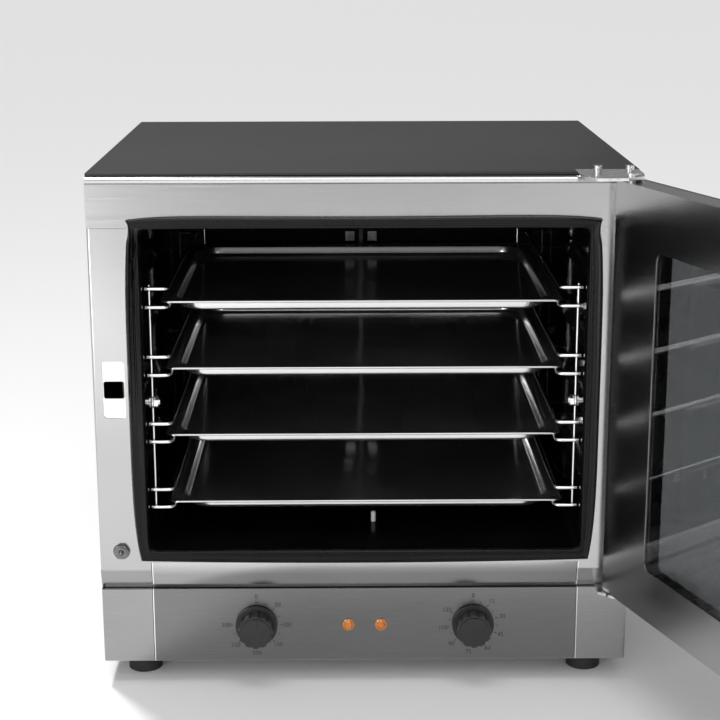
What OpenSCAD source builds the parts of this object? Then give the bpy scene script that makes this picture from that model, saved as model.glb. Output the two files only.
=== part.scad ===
// Countertop convection oven with four trays on wire racks and a side-hinged door, which stands open.
// Every length is in millimetres. Z is up, and the origin is on the ground midway between the feet.
// Inside from_face() a depth of y = 0 is the face of the front frame, and y grows into the oven.

/* [Casing] */
// Width over the side panels
body_w = 580; // [520:1:660]
// Depth from the face of the front frame to the back of the rear panel
body_d = 500; // [450:1:580]
// Height of the top panel over the ground
body_h = 570; // [510:1:660]
// Thickness of the casing and frame sheet
sheet_t = 1.2; // [1:0.1:1.5]
// Height of the feet under the base pan
foot_h = 25; // [15:1:30]
// Radius of the round bends of the casing sheet
bend_r = 3; // [2:0.5:5]
// Radius of the rolled upper edge of the front frame
roll_r = 8; // [5:0.5:10]
// Shadow gap between the top panel and the rolled edge
top_gap = 1.8; // [1:0.1:3]
// Height of the lower edge of the frame over the ground
frame_low = 113; // [112:0.5:118]
// Height of the crease where the stiles bend back
crease_z = 133.6; // [128:0.2:136]
// How far the lower edge of the frame leans back
lean = 6; // [3:0.5:9]

/* [Cavity] */
// Distance from the cavity to the outside of each side panel
side_room = 55; // [52:1:70]
// Distance from the cavity to the top of the casing
head_room = 55; // [50:1:70]
// Distance from the cavity to the back of the casing
rear_room = 60; // [56:1:80]
// Height of the cavity floor over the ground
floor_z = 157; // [155:1:165]
// Thickness of the enamelled cavity sheet
cavity_t = 1; // [0.8:0.1:1.2]
// Inner radius of the long bends of the side walls
cavity_r = 12; // [8:1:16]
// Thickness of the insulation blanket at the sides
blanket_t = 26; // [20:1:30]

/* [Door gasket] */
// Mean width of the gasket band
gasket_w = 11.5; // [9:0.5:12.5]
// How far the gasket stands out of the face
gasket_h = 9; // [6:0.5:10]
// Outward bow of the upright sides
side_bow = 7.2; // [3:0.2:7.6]
// Length of the pointed upper corners
ear = 4; // [0:0.5:6]

/* [Racks] */
// Radius of the runner and guard wires
wire_r = 2; // [1.5:0.1:2.5]
// Radius of the upright wires
post_r = 1.5; // [1.2:0.1:2]
// Height of the lowest runner over the cavity floor
first_level = 42.4; // [36:0.2:46]
// Height of the cavity over the uppermost runner
top_free = 90.6; // [80:0.2:100]
// Height of a guard wire over its runner
guard_rise = 20.3; // [16:0.5:26]
// Depth of the front posts behind the face
rack_front = 24; // [20:1:28]
// Distance from the rear posts to the baffle
rack_gap = 26; // [22:1:40]
// Bend radius at the inner ends of the rungs
wire_bend = 6; // [4:0.5:8]
// Height of the fixing studs over the middle of the racks
stud_rise = 6.9; // [4:0.1:10]
// Radius of the fixing studs
stud_r = 3.5; // [3:0.1:4]

/* [Trays] */
// Gap between a tray and each side wall
tray_side = 17; // [15:1:21]
// How much shorter a tray is than the distance between the posts
tray_short = 8; // [0:1:20]
// Height of a tray
tray_h = 10; // [8:1:16]
// Width of the flange round the pan
flange_w = 14; // [11:0.5:15]
// Sheet of the trays
tray_t = 1; // [0.8:0.1:1.2]
// Height of the rolled rim of the flange
rim_h = 2.2; // [1.6:0.1:3]
// Outer radius of the bend round the bottom of the pan
pan_bend = 5; // [3:0.5:6]
// Corner radius of the pan
pan_r = 14; // [8:1:20]

/* [Fans and baffle] */
// Depth of the space behind the baffle
baffle_gap = 52; // [50:1:56]
// Distance from the folded edges of the baffle to the side walls
baffle_side = 35; // [30:1:40]
// Width of the strip between the two halves
strip_w = 4.4; // [3:0.2:6]
// Place of each fan, as a share of the half width of the baffle
fan_share = 0.52; // [0.5:0.01:0.54]
// Gap between the rim of a fan wheel and the middle of the heater tube
fan_gap = 16; // [12:1:24]
// Number of blades on a wheel
blades = 12; // [8:1:16]
// Distance from the middle of the oven to the middle of the heater tube
heater_side = 14; // [12:1:16]
// Radius of the heater tube
heater_tube = 4; // [3:0.5:4]

/* [Door] */
// Opening angle at which the door stands
door_angle = 110; // [0:5:120]
// Thickness of the door without its handle
door_t = 29.6; // [27:0.2:34]
// Distance from the edges of the door to the sides of the casing
door_inset = 6; // [4:0.5:9]
// How much narrower the window is than the cavity at each side
window_side = 35; // [25:1:55]
// Thickness of the inner glass
inner_pane_t = 4; // [3:0.5:5]
// Thickness of the outer glass
outer_pane_t = 5; // [4:0.5:6]
// Distance of the hinge axis from the side of the casing
hinge_side = 16; // [15:0.5:18]
// Distance of the hinge axis in front of the face
hinge_y = 21; // [20:0.5:24]
// Radius of the hinge pins
pin_r = 4; // [3:0.5:4.5]
// Thickness of the hinge plates
plate_t = 3; // [2.5:0.5:4]
// Length of the lever on the handle
lever_l = 118; // [90:2:140]

/* [Latch and switch] */
// Height of the latch slot
slot_h = 63; // [60:1:70]
// Width of the latch slot
slot_w = 24; // [20:1:26]
// Distance of the slot's middle from the side of the casing
latch_side = 22.5; // [22:0.5:24]
// Height of the latch over the middle of the mouth
latch_rise = 2.5; // [-18:0.5:20]
// Height of the door switch over the ground
switch_z = 156; // [152:1:170]
// Distance of the door switch from the side of the casing
switch_side = 24; // [22:0.5:26]

/* [Control panel] */
// Height of the fascia's upper edge over the ground
fascia_top = 110.8; // [108:0.2:111]
// How much narrower the apron is than the cavity at each side
apron_side = 1.3; // [0:0.1:6]
// Distance of the knobs from the middle
knob_x = 120; // [90:1:160]
// Height of the knobs over the ground
knob_z = 68; // [60:1:74]
// Radius of the knobs
knob_r = 23; // [18:1:26]
// Distance of the pilot lamps from the middle
lamp_x = 18; // [12:1:30]
// Radius of the pilot lamps
lamp_r = 5; // [4:0.5:7]

/* [Rear] */
// Outer radius of the vent pipe
vent_r = 16; // [12:1:18]
// Length of the vent pipe behind the rear panel
vent_out = 18; // [10:1:25]
// Distance from the middle of the vent to the cavity ceiling
vent_drop = 32; // [26:1:36]
// Radius of the cable entry
cable_r = 5; // [4:0.5:6]

/* [Hidden] */
$fn = 48;

// Finishes
steel_c = [0.74, 0.74, 0.75];
bright_c = [0.85, 0.85, 0.87];
dark_c = [0.3, 0.3, 0.31];
enamel_c = [0.07, 0.07, 0.075];
rubber_c = [0.12, 0.12, 0.13];
wool_c = [0.8, 0.76, 0.62];
glass_c = [0.2, 0.22, 0.23, 0.5];
plastic_c = [0.1, 0.1, 0.1];

// Clearances
seam = 0.3;
run_fit = 0.05;
eps = 0.01;

// Derived heights and widths of the frame
half_w = body_w / 2;
rail_top = body_h - sheet_t - top_gap;
cavity_w = body_w - 2 * side_room;
cavity_h = body_h - head_room - floor_z;
cavity_d = body_d - rear_room;
ceiling_z = floor_z + cavity_h;
cavity_half = cavity_w / 2;
return_d = 27;
apron_half = cavity_half - apron_side;
flange_out = gasket_w + 1.5;
stile_in = cavity_half + flange_out + seam;
ring_low = floor_z - flange_out - 1;
ring_high = ceiling_z + gasket_w;
base_z = foot_h;
side_front = return_d + seam;

// Derived places in the cavity
levels = 4;
level_pitch = (cavity_h - first_level - top_free) / (levels - 1);
stud_z = first_level + level_pitch * (levels - 1) / 2 + stud_rise;
baffle_y = cavity_d - baffle_gap;
baffle_half = cavity_half - baffle_side;
fan_x = baffle_half * fan_share;
fan_z = floor_z + cavity_h / 2;
heater_r = fan_x - heater_side;
fan_r = heater_r - fan_gap;
vent_z = ceiling_z - vent_drop;
rack_rear = baffle_y - rack_gap;
rack_d = rack_rear - rack_front;
tray_w = cavity_w - 2 * tray_side;
tray_d = rack_d - tray_short;
post_x = cavity_half - 5.5;
runner_x = tray_w / 2 - flange_w + 5.5;
rung_end = cavity_half - 1.5;
front_rung_y = rack_front - post_r - wire_r + 0.2;
rear_rung_y = rack_rear + post_r + wire_r - 0.2;
shaft_r = 4;

// Each tray stands a little differently on its runners, counted from the top: depth, sideways shift
tray_inset = [36, 40, 38, 31];
tray_shift = [-2, 1, -1, 2];

// Derived places on the door, which is drawn closed
door_half = half_w - door_inset;
window_half = cavity_half - window_side;
hinge_x = half_w - hinge_side;
latch_x = half_w - latch_side;
latch_z = fan_z + latch_rise;
spindle_x = latch_x + 2;
switch_x = half_w - switch_side;
door_back = gasket_h + 0.4;
door_front = door_back + door_t;
door_low = frame_low + plate_t - 1;
door_high = rail_top - 2.5;
lower_plate_z = fascia_top;
window_low = floor_z + 12;
window_high = ceiling_z - 12;
spindle_r = 6;
cam_y = 2 * sheet_t + 1.5;
cam_t = 5;

// Half-plane helpers and plain outlines
module rounded(w, h, r) {
    square([w - 2 * r, h], center = true);
    square([w, h - 2 * r], center = true);
    for (x = [-1, 1], y = [-1, 1]) translate([x * (w / 2 - r), y * (h / 2 - r)]) circle(r);
}

// A quarter of a round bend: inner radius r, thickness t, swept over 90 degrees from +X to +Y
module bend_quarter(r, t) {
    intersection() {
        difference() {
            circle(r + t);
            circle(r);
        }
        square(r + t + 1);
    }
}

// Moves a shape from the face frame into the part's frame
module from_face() {
    translate([0, -body_d / 2, 0]) children();
}

// Lays an outline drawn in (depth, height) along X from x0 to x1
module along_x(x0, x1) {
    translate([x0, 0, 0]) rotate([90, 0, 90]) linear_extrude(x1 - x0) children();
}

// Lays an outline drawn in (width, height) along the depth from y0 to y1
module along_y(y0, y1) {
    translate([0, y1, 0]) rotate([90, 0, 0]) linear_extrude(y1 - y0) children();
}

// A round bar between two depths
module bar_y(x, y0, y1, z, r) {
    translate([x, y1, z]) rotate([90, 0, 0]) cylinder(h = y1 - y0, r = r);
}

// A round bar between two widths
module bar_x(x0, x1, y, z, r) {
    translate([x0, y, z]) rotate([0, 90, 0]) cylinder(h = x1 - x0, r = r);
}

// Swings a closed door shape about the hinge axis to its opening angle
module swing() {
    pivot = [hinge_x, -hinge_y, 0];
    translate(pivot) rotate([0, 0, door_angle]) translate(-pivot) children();
}

// Top panel: one enamelled sheet that drops between the side panels, notched for the hinge plate
notch_x = half_w - 68;
notch_y = 27;
lip_h = 10;
strip_in = 12;

module top_panel() {
    under = body_h - sheet_t;
    lip_x = half_w - 1.5 * sheet_t - seam;
    lip_d = body_d - side_front - sheet_t - seam;
    color(dark_c) from_face() difference() {
        union() {
            translate([-half_w, sheet_t / 2, under]) cube([body_w, body_d - sheet_t / 2, sheet_t]);
            for (s = [-1, 1])
                translate([s * lip_x - sheet_t / 2, side_front, under - lip_h])
                    cube([sheet_t, lip_d, lip_h + eps]);
            translate([-half_w + strip_in, strip_in, rail_top])
                cube([body_w - 2 * strip_in, return_d - strip_in - 2, under - rail_top + eps]);
        }
        translate([notch_x - seam, -1, rail_top - 1])
            cube([half_w, notch_y + seam + 1, top_gap + sheet_t + 2]);
    }
}

// Side panels: plain sheets with louvres over the electrical space
louvre_l = 58;
louvre_rows = 5;
louvre_step = 78;
louvre_y = body_d - 170;
louvre_lap = 3;
louvre_low = 22;
louvre_pitch = 11;
slit_h = 3;

module louvre_hood() {
    rotate([90, 0, 0]) linear_extrude(louvre_l)
        polygon([[0, 0], [3, 0], [3, 1], [1.2, 5], [0, 5]]);
}

module side_panel() {
    low = base_z;
    difference() {
        translate([half_w - sheet_t, side_front, low])
            cube([sheet_t, body_d - side_front - sheet_t, body_h - sheet_t - low]);
        for (c = [0, 1], k = [0:louvre_rows - 1])
            translate([half_w - sheet_t - 1, louvre_y + c * louvre_step, low + louvre_low + k * louvre_pitch])
                cube([sheet_t + 2, louvre_l - 2 * louvre_lap, slit_h]);
    }
    hood_y = louvre_y - louvre_lap + louvre_l;
    hood_z = low + louvre_low + slit_h - 0.5;
    for (c = [0, 1], k = [0:louvre_rows - 1])
        translate([half_w - eps, hood_y + c * louvre_step, hood_z + k * louvre_pitch]) louvre_hood();
}

module left_side_panel() color(steel_c) from_face() mirror([1, 0, 0]) side_panel();
module right_side_panel() color(steel_c) from_face() side_panel();

// Rear panel: sheet with the vent hole, the cable hole and two fields of cooling slots
gland_side = 65;
gland_x = half_w - gland_side;
gland_z = 62;
cooling_x = 24;
cooling_pitch = 13;
cooling_l = 38;
cooling_h = 5;

module rear_panel() {
    color(steel_c) from_face() along_y(body_d - sheet_t, body_d) difference() {
        translate([-half_w, base_z]) square([body_w, body_h - sheet_t - base_z]);
        translate([0, vent_z]) circle(vent_r - 0.3);
        translate([gland_x, gland_z]) circle(cable_r + 4);
        for (s = [-1, 1], row = [-3:3], c = [-1, 1])
            translate([s * fan_x + c * cooling_x, fan_z + row * cooling_pitch])
                rounded(cooling_l, cooling_h, cooling_h / 2 - 0.1);
    }
}

// Base pan with turned-up edges
foot_side = 40;
foot_x = half_w - foot_side;
foot_in = 45;
pan_front = 2;
pan_h = 16;

module base_pan() {
    w = body_w - 2 * sheet_t - 2 * seam;
    d = body_d - sheet_t - pan_front - 1;
    color(steel_c) from_face() difference() {
        translate([-w / 2, pan_front, base_z]) cube([w, d, pan_h]);
        translate([-w / 2 + sheet_t, pan_front - 1, base_z + sheet_t])
            cube([w - 2 * sheet_t, d + 1 - sheet_t, pan_h]);
        for (x = [-1, 1], y = [foot_in, body_d - foot_in])
            translate([x * foot_x, y, base_z - 1]) cylinder(h = sheet_t + 2, r = foot_stud_r + 0.2);
    }
}

// Feet: turned rubber pads on threaded studs with a nut inside the pan
pad_r = 19;
neck_r = 14;
foot_stud_r = 4;
foot_stud_l = 12;

module foot() {
    rotate_extrude() polygon([
        [0, 0], [pad_r - 0.4, 0], [pad_r, 0.4], [pad_r, foot_h - 9], [neck_r, foot_h - 6], [neck_r, foot_h],
        [foot_stud_r, foot_h], [foot_stud_r, foot_h + foot_stud_l], [0, foot_h + foot_stud_l]
    ]);
    translate([0, 0, foot_h + sheet_t]) difference() {
        cylinder(h = 5, r = 7.5, $fn = 6);
        translate([0, 0, -1]) cylinder(h = 7, r = foot_stud_r - 0.1);
    }
}

module feet() {
    color(rubber_c) from_face() for (x = [-1, 1], y = [foot_in, body_d - foot_in])
        translate([x * foot_x, y, 0]) foot();
}

// A clearance hole for a hinge screw through the sheets at this height
module screw_hole() translate([0, 0, -plate_t - 2]) cylinder(h = 2 * plate_t + 4, r = screw_r + 0.2);

// Front top rail: flat face with a rolled upper edge that returns to the top panel
module front_top_rail() {
    stile_top = ceiling_z - 2;
    color(steel_c) from_face() difference() {
        along_x(-half_w, half_w) {
            translate([0, stile_top + seam]) square([sheet_t, rail_top - roll_r - stile_top - seam]);
            translate([roll_r, rail_top - roll_r]) mirror([1, 0]) bend_quarter(roll_r - sheet_t, sheet_t);
            translate([roll_r, rail_top - sheet_t]) square([return_d - roll_r, sheet_t]);
        }
        translate([-stile_in, -1, 0]) cube([2 * stile_in, sheet_t + 2, ring_high + seam]);
        for (x = [screw_x, screw_x2]) translate([x, screw_y, rail_top]) screw_hole();
    }
}

// Stiles: upright sheets at both sides of the mouth; the lower end creases and leans back
module stile_outline() {
    square([half_w - bend_r - stile_in, sheet_t]);
    translate([half_w - bend_r - stile_in, bend_r]) mirror([0, 1]) bend_quarter(bend_r - sheet_t, sheet_t);
    translate([half_w - sheet_t - stile_in, bend_r]) square([sheet_t, return_d - bend_r]);
}

module stile() {
    apron_in = apron_half + 2 * seam;
    top = ceiling_z - 2;
    corner_w = stile_in - apron_in + eps;
    low_top = frame_low + sheet_t;
    translate([stile_in, 0, crease_z - eps]) linear_extrude(top - crease_z) stile_outline();
    translate([apron_in, 0, crease_z - eps]) cube([corner_w, sheet_t, ring_low - seam - crease_z]);
    along_x(apron_in, half_w) polygon([
        [0, crease_z], [sheet_t, crease_z], [lean + sheet_t, low_top], [return_d, low_top],
        [return_d, frame_low], [lean, frame_low]
    ]);
    translate([half_w - sheet_t, lean, frame_low]) cube([sheet_t, return_d - lean, crease_z - frame_low]);
}

module left_stile() {
    color(steel_c) from_face() difference() {
        mirror([1, 0, 0]) stile();
        translate([-latch_x, 0, latch_z]) along_y(-1, sheet_t + 1) rounded(slot_w, slot_h, 4);
        bar_y(-switch_x, -1, sheet_t + 1, switch_z, 6.2);
    }
}

module right_stile() {
    plate_room = lower_plate_z + plate_t + 1.5 - frame_low;
    color(steel_c) from_face() difference() {
        stile();
        translate([lower_plate_x - seam, -1, frame_low - 1]) cube([half_w, notch_y + 2, plate_room]);
    }
}

// Lower apron: rolled sheet under the mouth that leans back to the shadow gap
apron_roll = 36;
apron_sweep = 22;

function roll_points(r, top, from, to) = [
    for (k = [0:8]) let (a = 180 + from + (to - from) * k / 8) [apron_roll + r * cos(a), top + r * sin(a)]
];

module lower_apron() {
    top = ring_low - seam;
    straight = 3;
    roll_end = top - straight - apron_roll * sin(apron_sweep);
    foot = apron_roll * (1 - cos(apron_sweep)) + (roll_end - frame_low) * tan(apron_sweep);
    low_top = frame_low + sheet_t;
    color(steel_c) from_face() along_x(-apron_half, apron_half) polygon(concat(
        [[0, top]], roll_points(apron_roll, top - straight, 0, apron_sweep),
        [[foot, frame_low], [return_d, frame_low], [return_d, low_top], [foot + sheet_t, low_top]],
        roll_points(apron_roll - sheet_t, top - straight, apron_sweep, 0), [[sheet_t, top]]
    ));
}

// Control fascia: middle panel under the shadow gap, with the holes for knobs and lamps
module control_fascia() {
    low = base_z + sheet_t;
    color(steel_c) from_face() difference() {
        union() {
            translate([-apron_half, 0, low]) cube([2 * apron_half, sheet_t, fascia_top - low]);
            translate([-apron_half, 0, fascia_top - sheet_t]) cube([2 * apron_half, return_d, sheet_t]);
            translate([-apron_half, 0, low]) cube([2 * apron_half, return_d - 5, sheet_t]);
        }
        for (s = [-1, 1]) {
            bar_y(s * knob_x, -1, sheet_t + 1, knob_z, 5.3);
            bar_y(s * lamp_x, -1, sheet_t + 1, knob_z, lamp_r + 0.2);
        }
    }
}

// End caps of the fascia, which turn round the corners of the casing
module end_cap() {
    low = base_z + sheet_t;
    inner = apron_half + 2 * seam;
    translate([inner, 0, low]) cube([half_w - bend_r - inner, sheet_t, fascia_top - low]);
    translate([half_w - bend_r, bend_r, low]) linear_extrude(fascia_top - low)
        mirror([0, 1]) bend_quarter(bend_r - sheet_t, sheet_t);
    translate([half_w - sheet_t, bend_r, low]) cube([sheet_t, return_d - bend_r, fascia_top - low]);
    translate([inner, 0, fascia_top - sheet_t]) cube([half_w - bend_r - inner, return_d, sheet_t]);
}

module fascia_end_caps() {
    color(steel_c) from_face() difference() {
        for (s = [0, 1]) mirror([s, 0, 0]) end_cap();
        translate([lower_screw_x, screw_y, fascia_top]) screw_hole();
    }
}

// Cavity: five enamelled walls and the flat ring that carries the gasket
module cavity_front_flange() {
    w = cavity_half + flange_out;
    color(enamel_c) from_face() along_y(0, sheet_t) difference() {
        translate([-w, ring_low]) square([2 * w, ring_high - ring_low]);
        translate([0, (floor_z + ceiling_z) / 2]) rounded(cavity_w, cavity_h, 6);
    }
}

tab_d = 14;

module cavity_wall_outline() {
    in_h = cavity_h - 2 * cavity_r;
    translate([cavity_half, -in_h / 2]) square([cavity_t, in_h]);
    for (s = [0, 1]) mirror([0, s]) {
        translate([cavity_half - cavity_r, in_h / 2]) bend_quarter(cavity_r, cavity_t);
        translate([cavity_half - cavity_r - tab_d, cavity_h / 2]) square([tab_d + eps, cavity_t]);
    }
}

module cavity_side() {
    translate([0, 0, (floor_z + ceiling_z) / 2]) along_y(sheet_t, cavity_d) cavity_wall_outline();
}

module cavity_left_wall() color(enamel_c) from_face() mirror([1, 0, 0]) cavity_side();
module cavity_right_wall() color(enamel_c) from_face() cavity_side();

module cavity_ceiling() {
    w = cavity_w - 2 * cavity_r - 2 * tab_d;
    color(enamel_c) from_face()
        translate([-w / 2, sheet_t, ceiling_z]) cube([w, cavity_d - sheet_t, cavity_t]);
}

// The floor has a hole for the small stud
stud_x = 11;
stud_y = 90;

module cavity_floor() {
    w = cavity_w - 2 * cavity_r - 2 * tab_d;
    color(enamel_c) from_face() difference() {
        translate([-w / 2, sheet_t, floor_z - cavity_t]) cube([w, cavity_d - sheet_t, cavity_t]);
        translate([stud_x, stud_y, floor_z - 5]) cylinder(h = 10, r = 2);
    }
}

module floor_stud() {
    color(bright_c) from_face() translate([stud_x, stud_y, floor_z - cavity_t]) rotate_extrude() polygon([
        [0, 0], [2, 0], [2, cavity_t], [2.8, cavity_t], [2.8, cavity_t + 11], [1.8, cavity_t + 12],
        [0, cavity_t + 12]
    ]);
}

module cavity_rear_wall() {
    outer = [cavity_w + 2 * cavity_t, cavity_h + 2 * cavity_t];
    color(enamel_c) from_face() along_y(cavity_d, cavity_d + cavity_t) difference() {
        translate([0, fan_z]) square(outer, center = true);
        for (s = [-1, 1]) translate([s * fan_x, fan_z]) {
            circle(9);
            for (e = [-1, 1]) translate([e * heater_leg, -heater_drop]) circle(leg_r + 0.2);
        }
        translate([0, vent_z]) circle(vent_r - vent_t);
        translate([probe_x, probe_z]) circle(probe_r + 0.2);
    }
}

// Gasket: a soft band whose mitred corners stand out in points, with bowed sides
gasket_steps = 26;
gasket_section = [
    [0, 0], [0, 0.6], [0.06, 0.84], [0.16, 1], [0.32, 0.95], [0.48, 0.9], [0.64, 0.94], [0.8, 1],
    [0.92, 0.72], [1, 0.3], [1, 0]
];

function spread(t) = 0.5 - 0.5 * cos(180 * t);
function bow(t, power) = 1 - pow(abs(2 * t - 1), power);
function tip(t, reach) = exp(-reach * t / 10);
function neck(t, reach) = exp(-pow((reach * t - 13) / 11, 4));

in_half = cavity_half - 0.5;
out_half = cavity_half + gasket_w - 1.7;
in_low = floor_z + 2;
in_high = ceiling_z - 2;
out_low = floor_z - gasket_w - 0.2;
out_high = ceiling_z + gasket_w - 4.5;
in_corner = 1.8;
blunt = 6.5;
neck_in = 3.6;
top_rise = 4.4;
top_sag = 1.6;
bottom_sag = 3.4;

function ease(t, reach) = in_corner * pow(max(0, 1 - reach * t / 6), 2);
function corner_ease(t, reach) = ease(t, reach) + ease(1 - t, reach);

// Inner and outer points of the band at place t of each side, going round from the upper left corner
function top_pair(t) = [
    [-in_half + in_corner + 2 * (in_half - in_corner) * t, in_high - corner_ease(t, 2 * in_half)],
    [-(out_half + ear) + 2 * (out_half + ear) * t,
        out_high + top_rise * bow(t, 8) - top_sag * pow(bow(t, 2), 2)]
];
function right_pair(t) = let (in_tall = in_high - in_low, out_tall = out_high - out_low) [
    [in_half - corner_ease(t, in_tall), in_high - in_corner - (in_tall - 2 * in_corner) * t],
    [out_half + side_bow * bow(t, 5) + ear * tip(t, out_tall) - blunt * tip(1 - t, out_tall)
        - neck_in * neck(t, out_tall), out_high - out_tall * t]
];
function bottom_pair(t) = [
    [in_half - in_corner - 2 * (in_half - in_corner) * t, in_low + corner_ease(t, 2 * in_half)],
    [(out_half - blunt) * (1 - 2 * t), out_low - bottom_sag * bow(t, 2)]
];
function left_pair(t) = let (p = right_pair(1 - t)) [[-p[0][0], p[0][1]], [-p[1][0], p[1][1]]];

module door_gasket() {
    pairs = [
        for (k = [0:gasket_steps - 1]) top_pair(spread(k / gasket_steps)),
        for (k = [0:gasket_steps - 1]) right_pair(spread(k / gasket_steps)),
        for (k = [0:gasket_steps - 1]) bottom_pair(spread(k / gasket_steps)),
        for (k = [0:gasket_steps - 1]) left_pair(spread(k / gasket_steps))
    ];
    n = len(pairs);
    m = len(gasket_section);
    points = [for (p = pairs, s = gasket_section)
        let (q = p[0] + (p[1] - p[0]) * s[0]) [q[0], -gasket_h * s[1], q[1]]];
    faces = [for (k = [0:n - 1], j = [0:m - 1])
        let (here = k * m, next = ((k + 1) % n) * m, up = (j + 1) % m)
        each [[here + j, here + up, next + up], [here + j, next + up, next + j]]];
    color(rubber_c) from_face() polyhedron(points, faces, convexity = 6);
}

// Insulation: a wrap round the cavity and a rear blanket with windows for the motors
rear_blanket_t = 22;

module insulation_wrap() {
    in_w = cavity_w + 2 * cavity_t + 2 * seam;
    in_h = cavity_h + 2 * cavity_t + 2 * seam;
    color(wool_c) from_face() translate([0, 0, fan_z]) along_y(return_d + 5, cavity_d) difference() {
        rounded(in_w + 2 * blanket_t, in_h + 2 * blanket_t, 16);
        square([in_w, in_h], center = true);
    }
}

module insulation_rear() {
    color(wool_c) from_face() along_y(motor_front + seam, motor_front + rear_blanket_t) difference() {
        translate([-cavity_half, floor_z]) square([cavity_w, cavity_h]);
        for (s = [-1, 1]) translate([s * fan_x, fan_z]) {
            square(motor_plate + 6, center = true);
            translate([0, -heater_drop])
                square([2 * heater_leg + rear_blanket_t, rear_blanket_t], center = true);
        }
        translate([0, vent_z]) circle(vent_r + 5);
        translate([probe_x, probe_z]) circle(probe_r + 2);
    }
}

// Racks: two posts a side, and at each level a guard wire and a runner wire bent to a wide U
module wire_u(z) {
    for (y = [front_rung_y, rear_rung_y]) bar_x(runner_x + wire_bend, rung_end, y, z, wire_r);
    bar_y(runner_x, front_rung_y + wire_bend, rear_rung_y - wire_bend, z, wire_r);
    translate([runner_x + wire_bend, front_rung_y + wire_bend, z]) rotate([0, 0, 180])
        rotate_extrude(angle = 90) translate([wire_bend, 0]) circle(wire_r);
    translate([runner_x + wire_bend, rear_rung_y - wire_bend, z]) rotate([0, 0, 90])
        rotate_extrude(angle = 90) translate([wire_bend, 0]) circle(wire_r);
}

eye_r = stud_r + post_r + 0.3;

module rack_post(y) {
    low = floor_z + first_level;
    high = low + (levels - 1) * level_pitch + guard_rise + wire_r + 1.5;
    eye = floor_z + stud_z;
    translate([post_x, y, low - post_r]) cylinder(h = eye - eye_r - low + post_r, r = post_r);
    translate([post_x, y, eye + eye_r]) cylinder(h = high - eye - eye_r, r = post_r);
    translate([post_x, y, eye]) rotate([0, 90, 0]) rotate_extrude() translate([eye_r, 0]) circle(post_r);
}

module rack() {
    $fn = 24;
    for (y = [rack_front, rack_rear]) rack_post(y);
    for (k = [0:levels - 1]) {
        wire_u(floor_z + first_level + k * level_pitch);
        wire_u(floor_z + first_level + k * level_pitch + guard_rise);
    }
}

module left_rack() color(bright_c) from_face() mirror([1, 0, 0]) rack();
module right_rack() color(bright_c) from_face() rack();

// Fixing studs with their collars, and the hexagon nuts that hold the racks
collar_r = 6.5;
collar_t = 1.5;
nut_t = 4.6;

module rack_stud(y) {
    z = floor_z + stud_z;
    bar_x(post_x - post_r - nut_t - 2, cavity_half, y, z, stud_r);
    bar_x(post_x + post_r + 0.1, post_x + post_r + collar_t, y, z, collar_r);
}

module rack_studs() {
    color(bright_c) from_face() for (s = [0, 1], y = [rack_front, rack_rear]) mirror([s, 0, 0]) rack_stud(y);
}

module rack_nuts() {
    outer = post_x - post_r - 0.1;
    color(bright_c) from_face() for (s = [0, 1], y = [rack_front, rack_rear]) mirror([s, 0, 0])
        translate([outer - nut_t, y, floor_z + stud_z]) rotate([0, 90, 0]) difference() {
            cylinder(h = nut_t, r = 6.6, $fn = 6);
            translate([0, 0, -1]) cylinder(h = nut_t + 2, r = stud_r + run_fit);
        }
}

// Baffle halves: folded sheets with a round intake grille of arc slots before each fan
baffle_t = 1;
baffle_low = floor_z + 8;
baffle_high = ceiling_z - 8;
fold_d = 14;
grille_rings = 4;
ring_pitch = 12;
slit_w = 6;
screw_hole_r = 2.2;
tab_x = 14.2;
tab_in = 79;
standoff_in = 39;
tab_rise = [for (s = [1, -1]) s * (cavity_h / 2 - tab_in)];

module arc_slot(r, w, a0, a1) {
    reach = 2 * r + w;
    intersection() {
        difference() {
            circle(r + w / 2);
            circle(r - w / 2);
        }
        polygon(concat([[0, 0]], [for (a = [a0, (a0 + a1) / 2, a1]) reach * [cos(a), sin(a)]]));
    }
}

module baffle_half_sheet() {
    inner = strip_w / 2 + seam;
    along_y(baffle_y - baffle_t, baffle_y) difference() {
        translate([inner, baffle_low]) square([baffle_half - inner, baffle_high - baffle_low]);
        for (ring = [1:grille_rings], k = [0:5])
            translate([fan_x, fan_z]) arc_slot(ring * ring_pitch, slit_w, k * 60 + 5, k * 60 + 55);
        for (dz = tab_rise) translate([tab_x, fan_z + dz]) circle(screw_hole_r);
    }
    translate([baffle_half - baffle_t, baffle_y - eps, baffle_low])
        cube([baffle_t, fold_d, baffle_high - baffle_low]);
}

module left_baffle() color(enamel_c) from_face() mirror([1, 0, 0]) baffle_half_sheet();
module right_baffle() color(enamel_c) from_face() baffle_half_sheet();

// Bracket behind the joint of the halves, with stand-offs to the rear wall
bracket_t = 2;
tab_half = 24;
tab_h = 14;

module baffle_bracket() {
    strip = [strip_w, bracket_t + eps, baffle_high - baffle_low];
    color(bright_c) from_face() {
        difference() {
            union() {
                translate([-strip_w / 2, baffle_y - bracket_t, baffle_low]) cube(strip);
                for (dz = tab_rise) {
                    translate([-tab_half, baffle_y, fan_z + dz - tab_h / 2])
                        cube([2 * tab_half, bracket_t, tab_h]);
                    bar_y(0, baffle_y + 1, cavity_d, fan_z + dz, 5);
                }
            }
            for (s = [-1, 1], dz = tab_rise)
                bar_y(s * tab_x, baffle_y - 1, baffle_y + bracket_t + 1, fan_z + dz, screw_hole_r);
        }
        for (s = [-1, 1], t = [-1, 1])
            bar_y(s * (baffle_half - 9), baffle_y, cavity_d, fan_z + t * (cavity_h / 2 - standoff_in), 4);
    }
}

// Screws of the baffle: a square washer and a round head with a cross
washer_t = 1.5;

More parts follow.
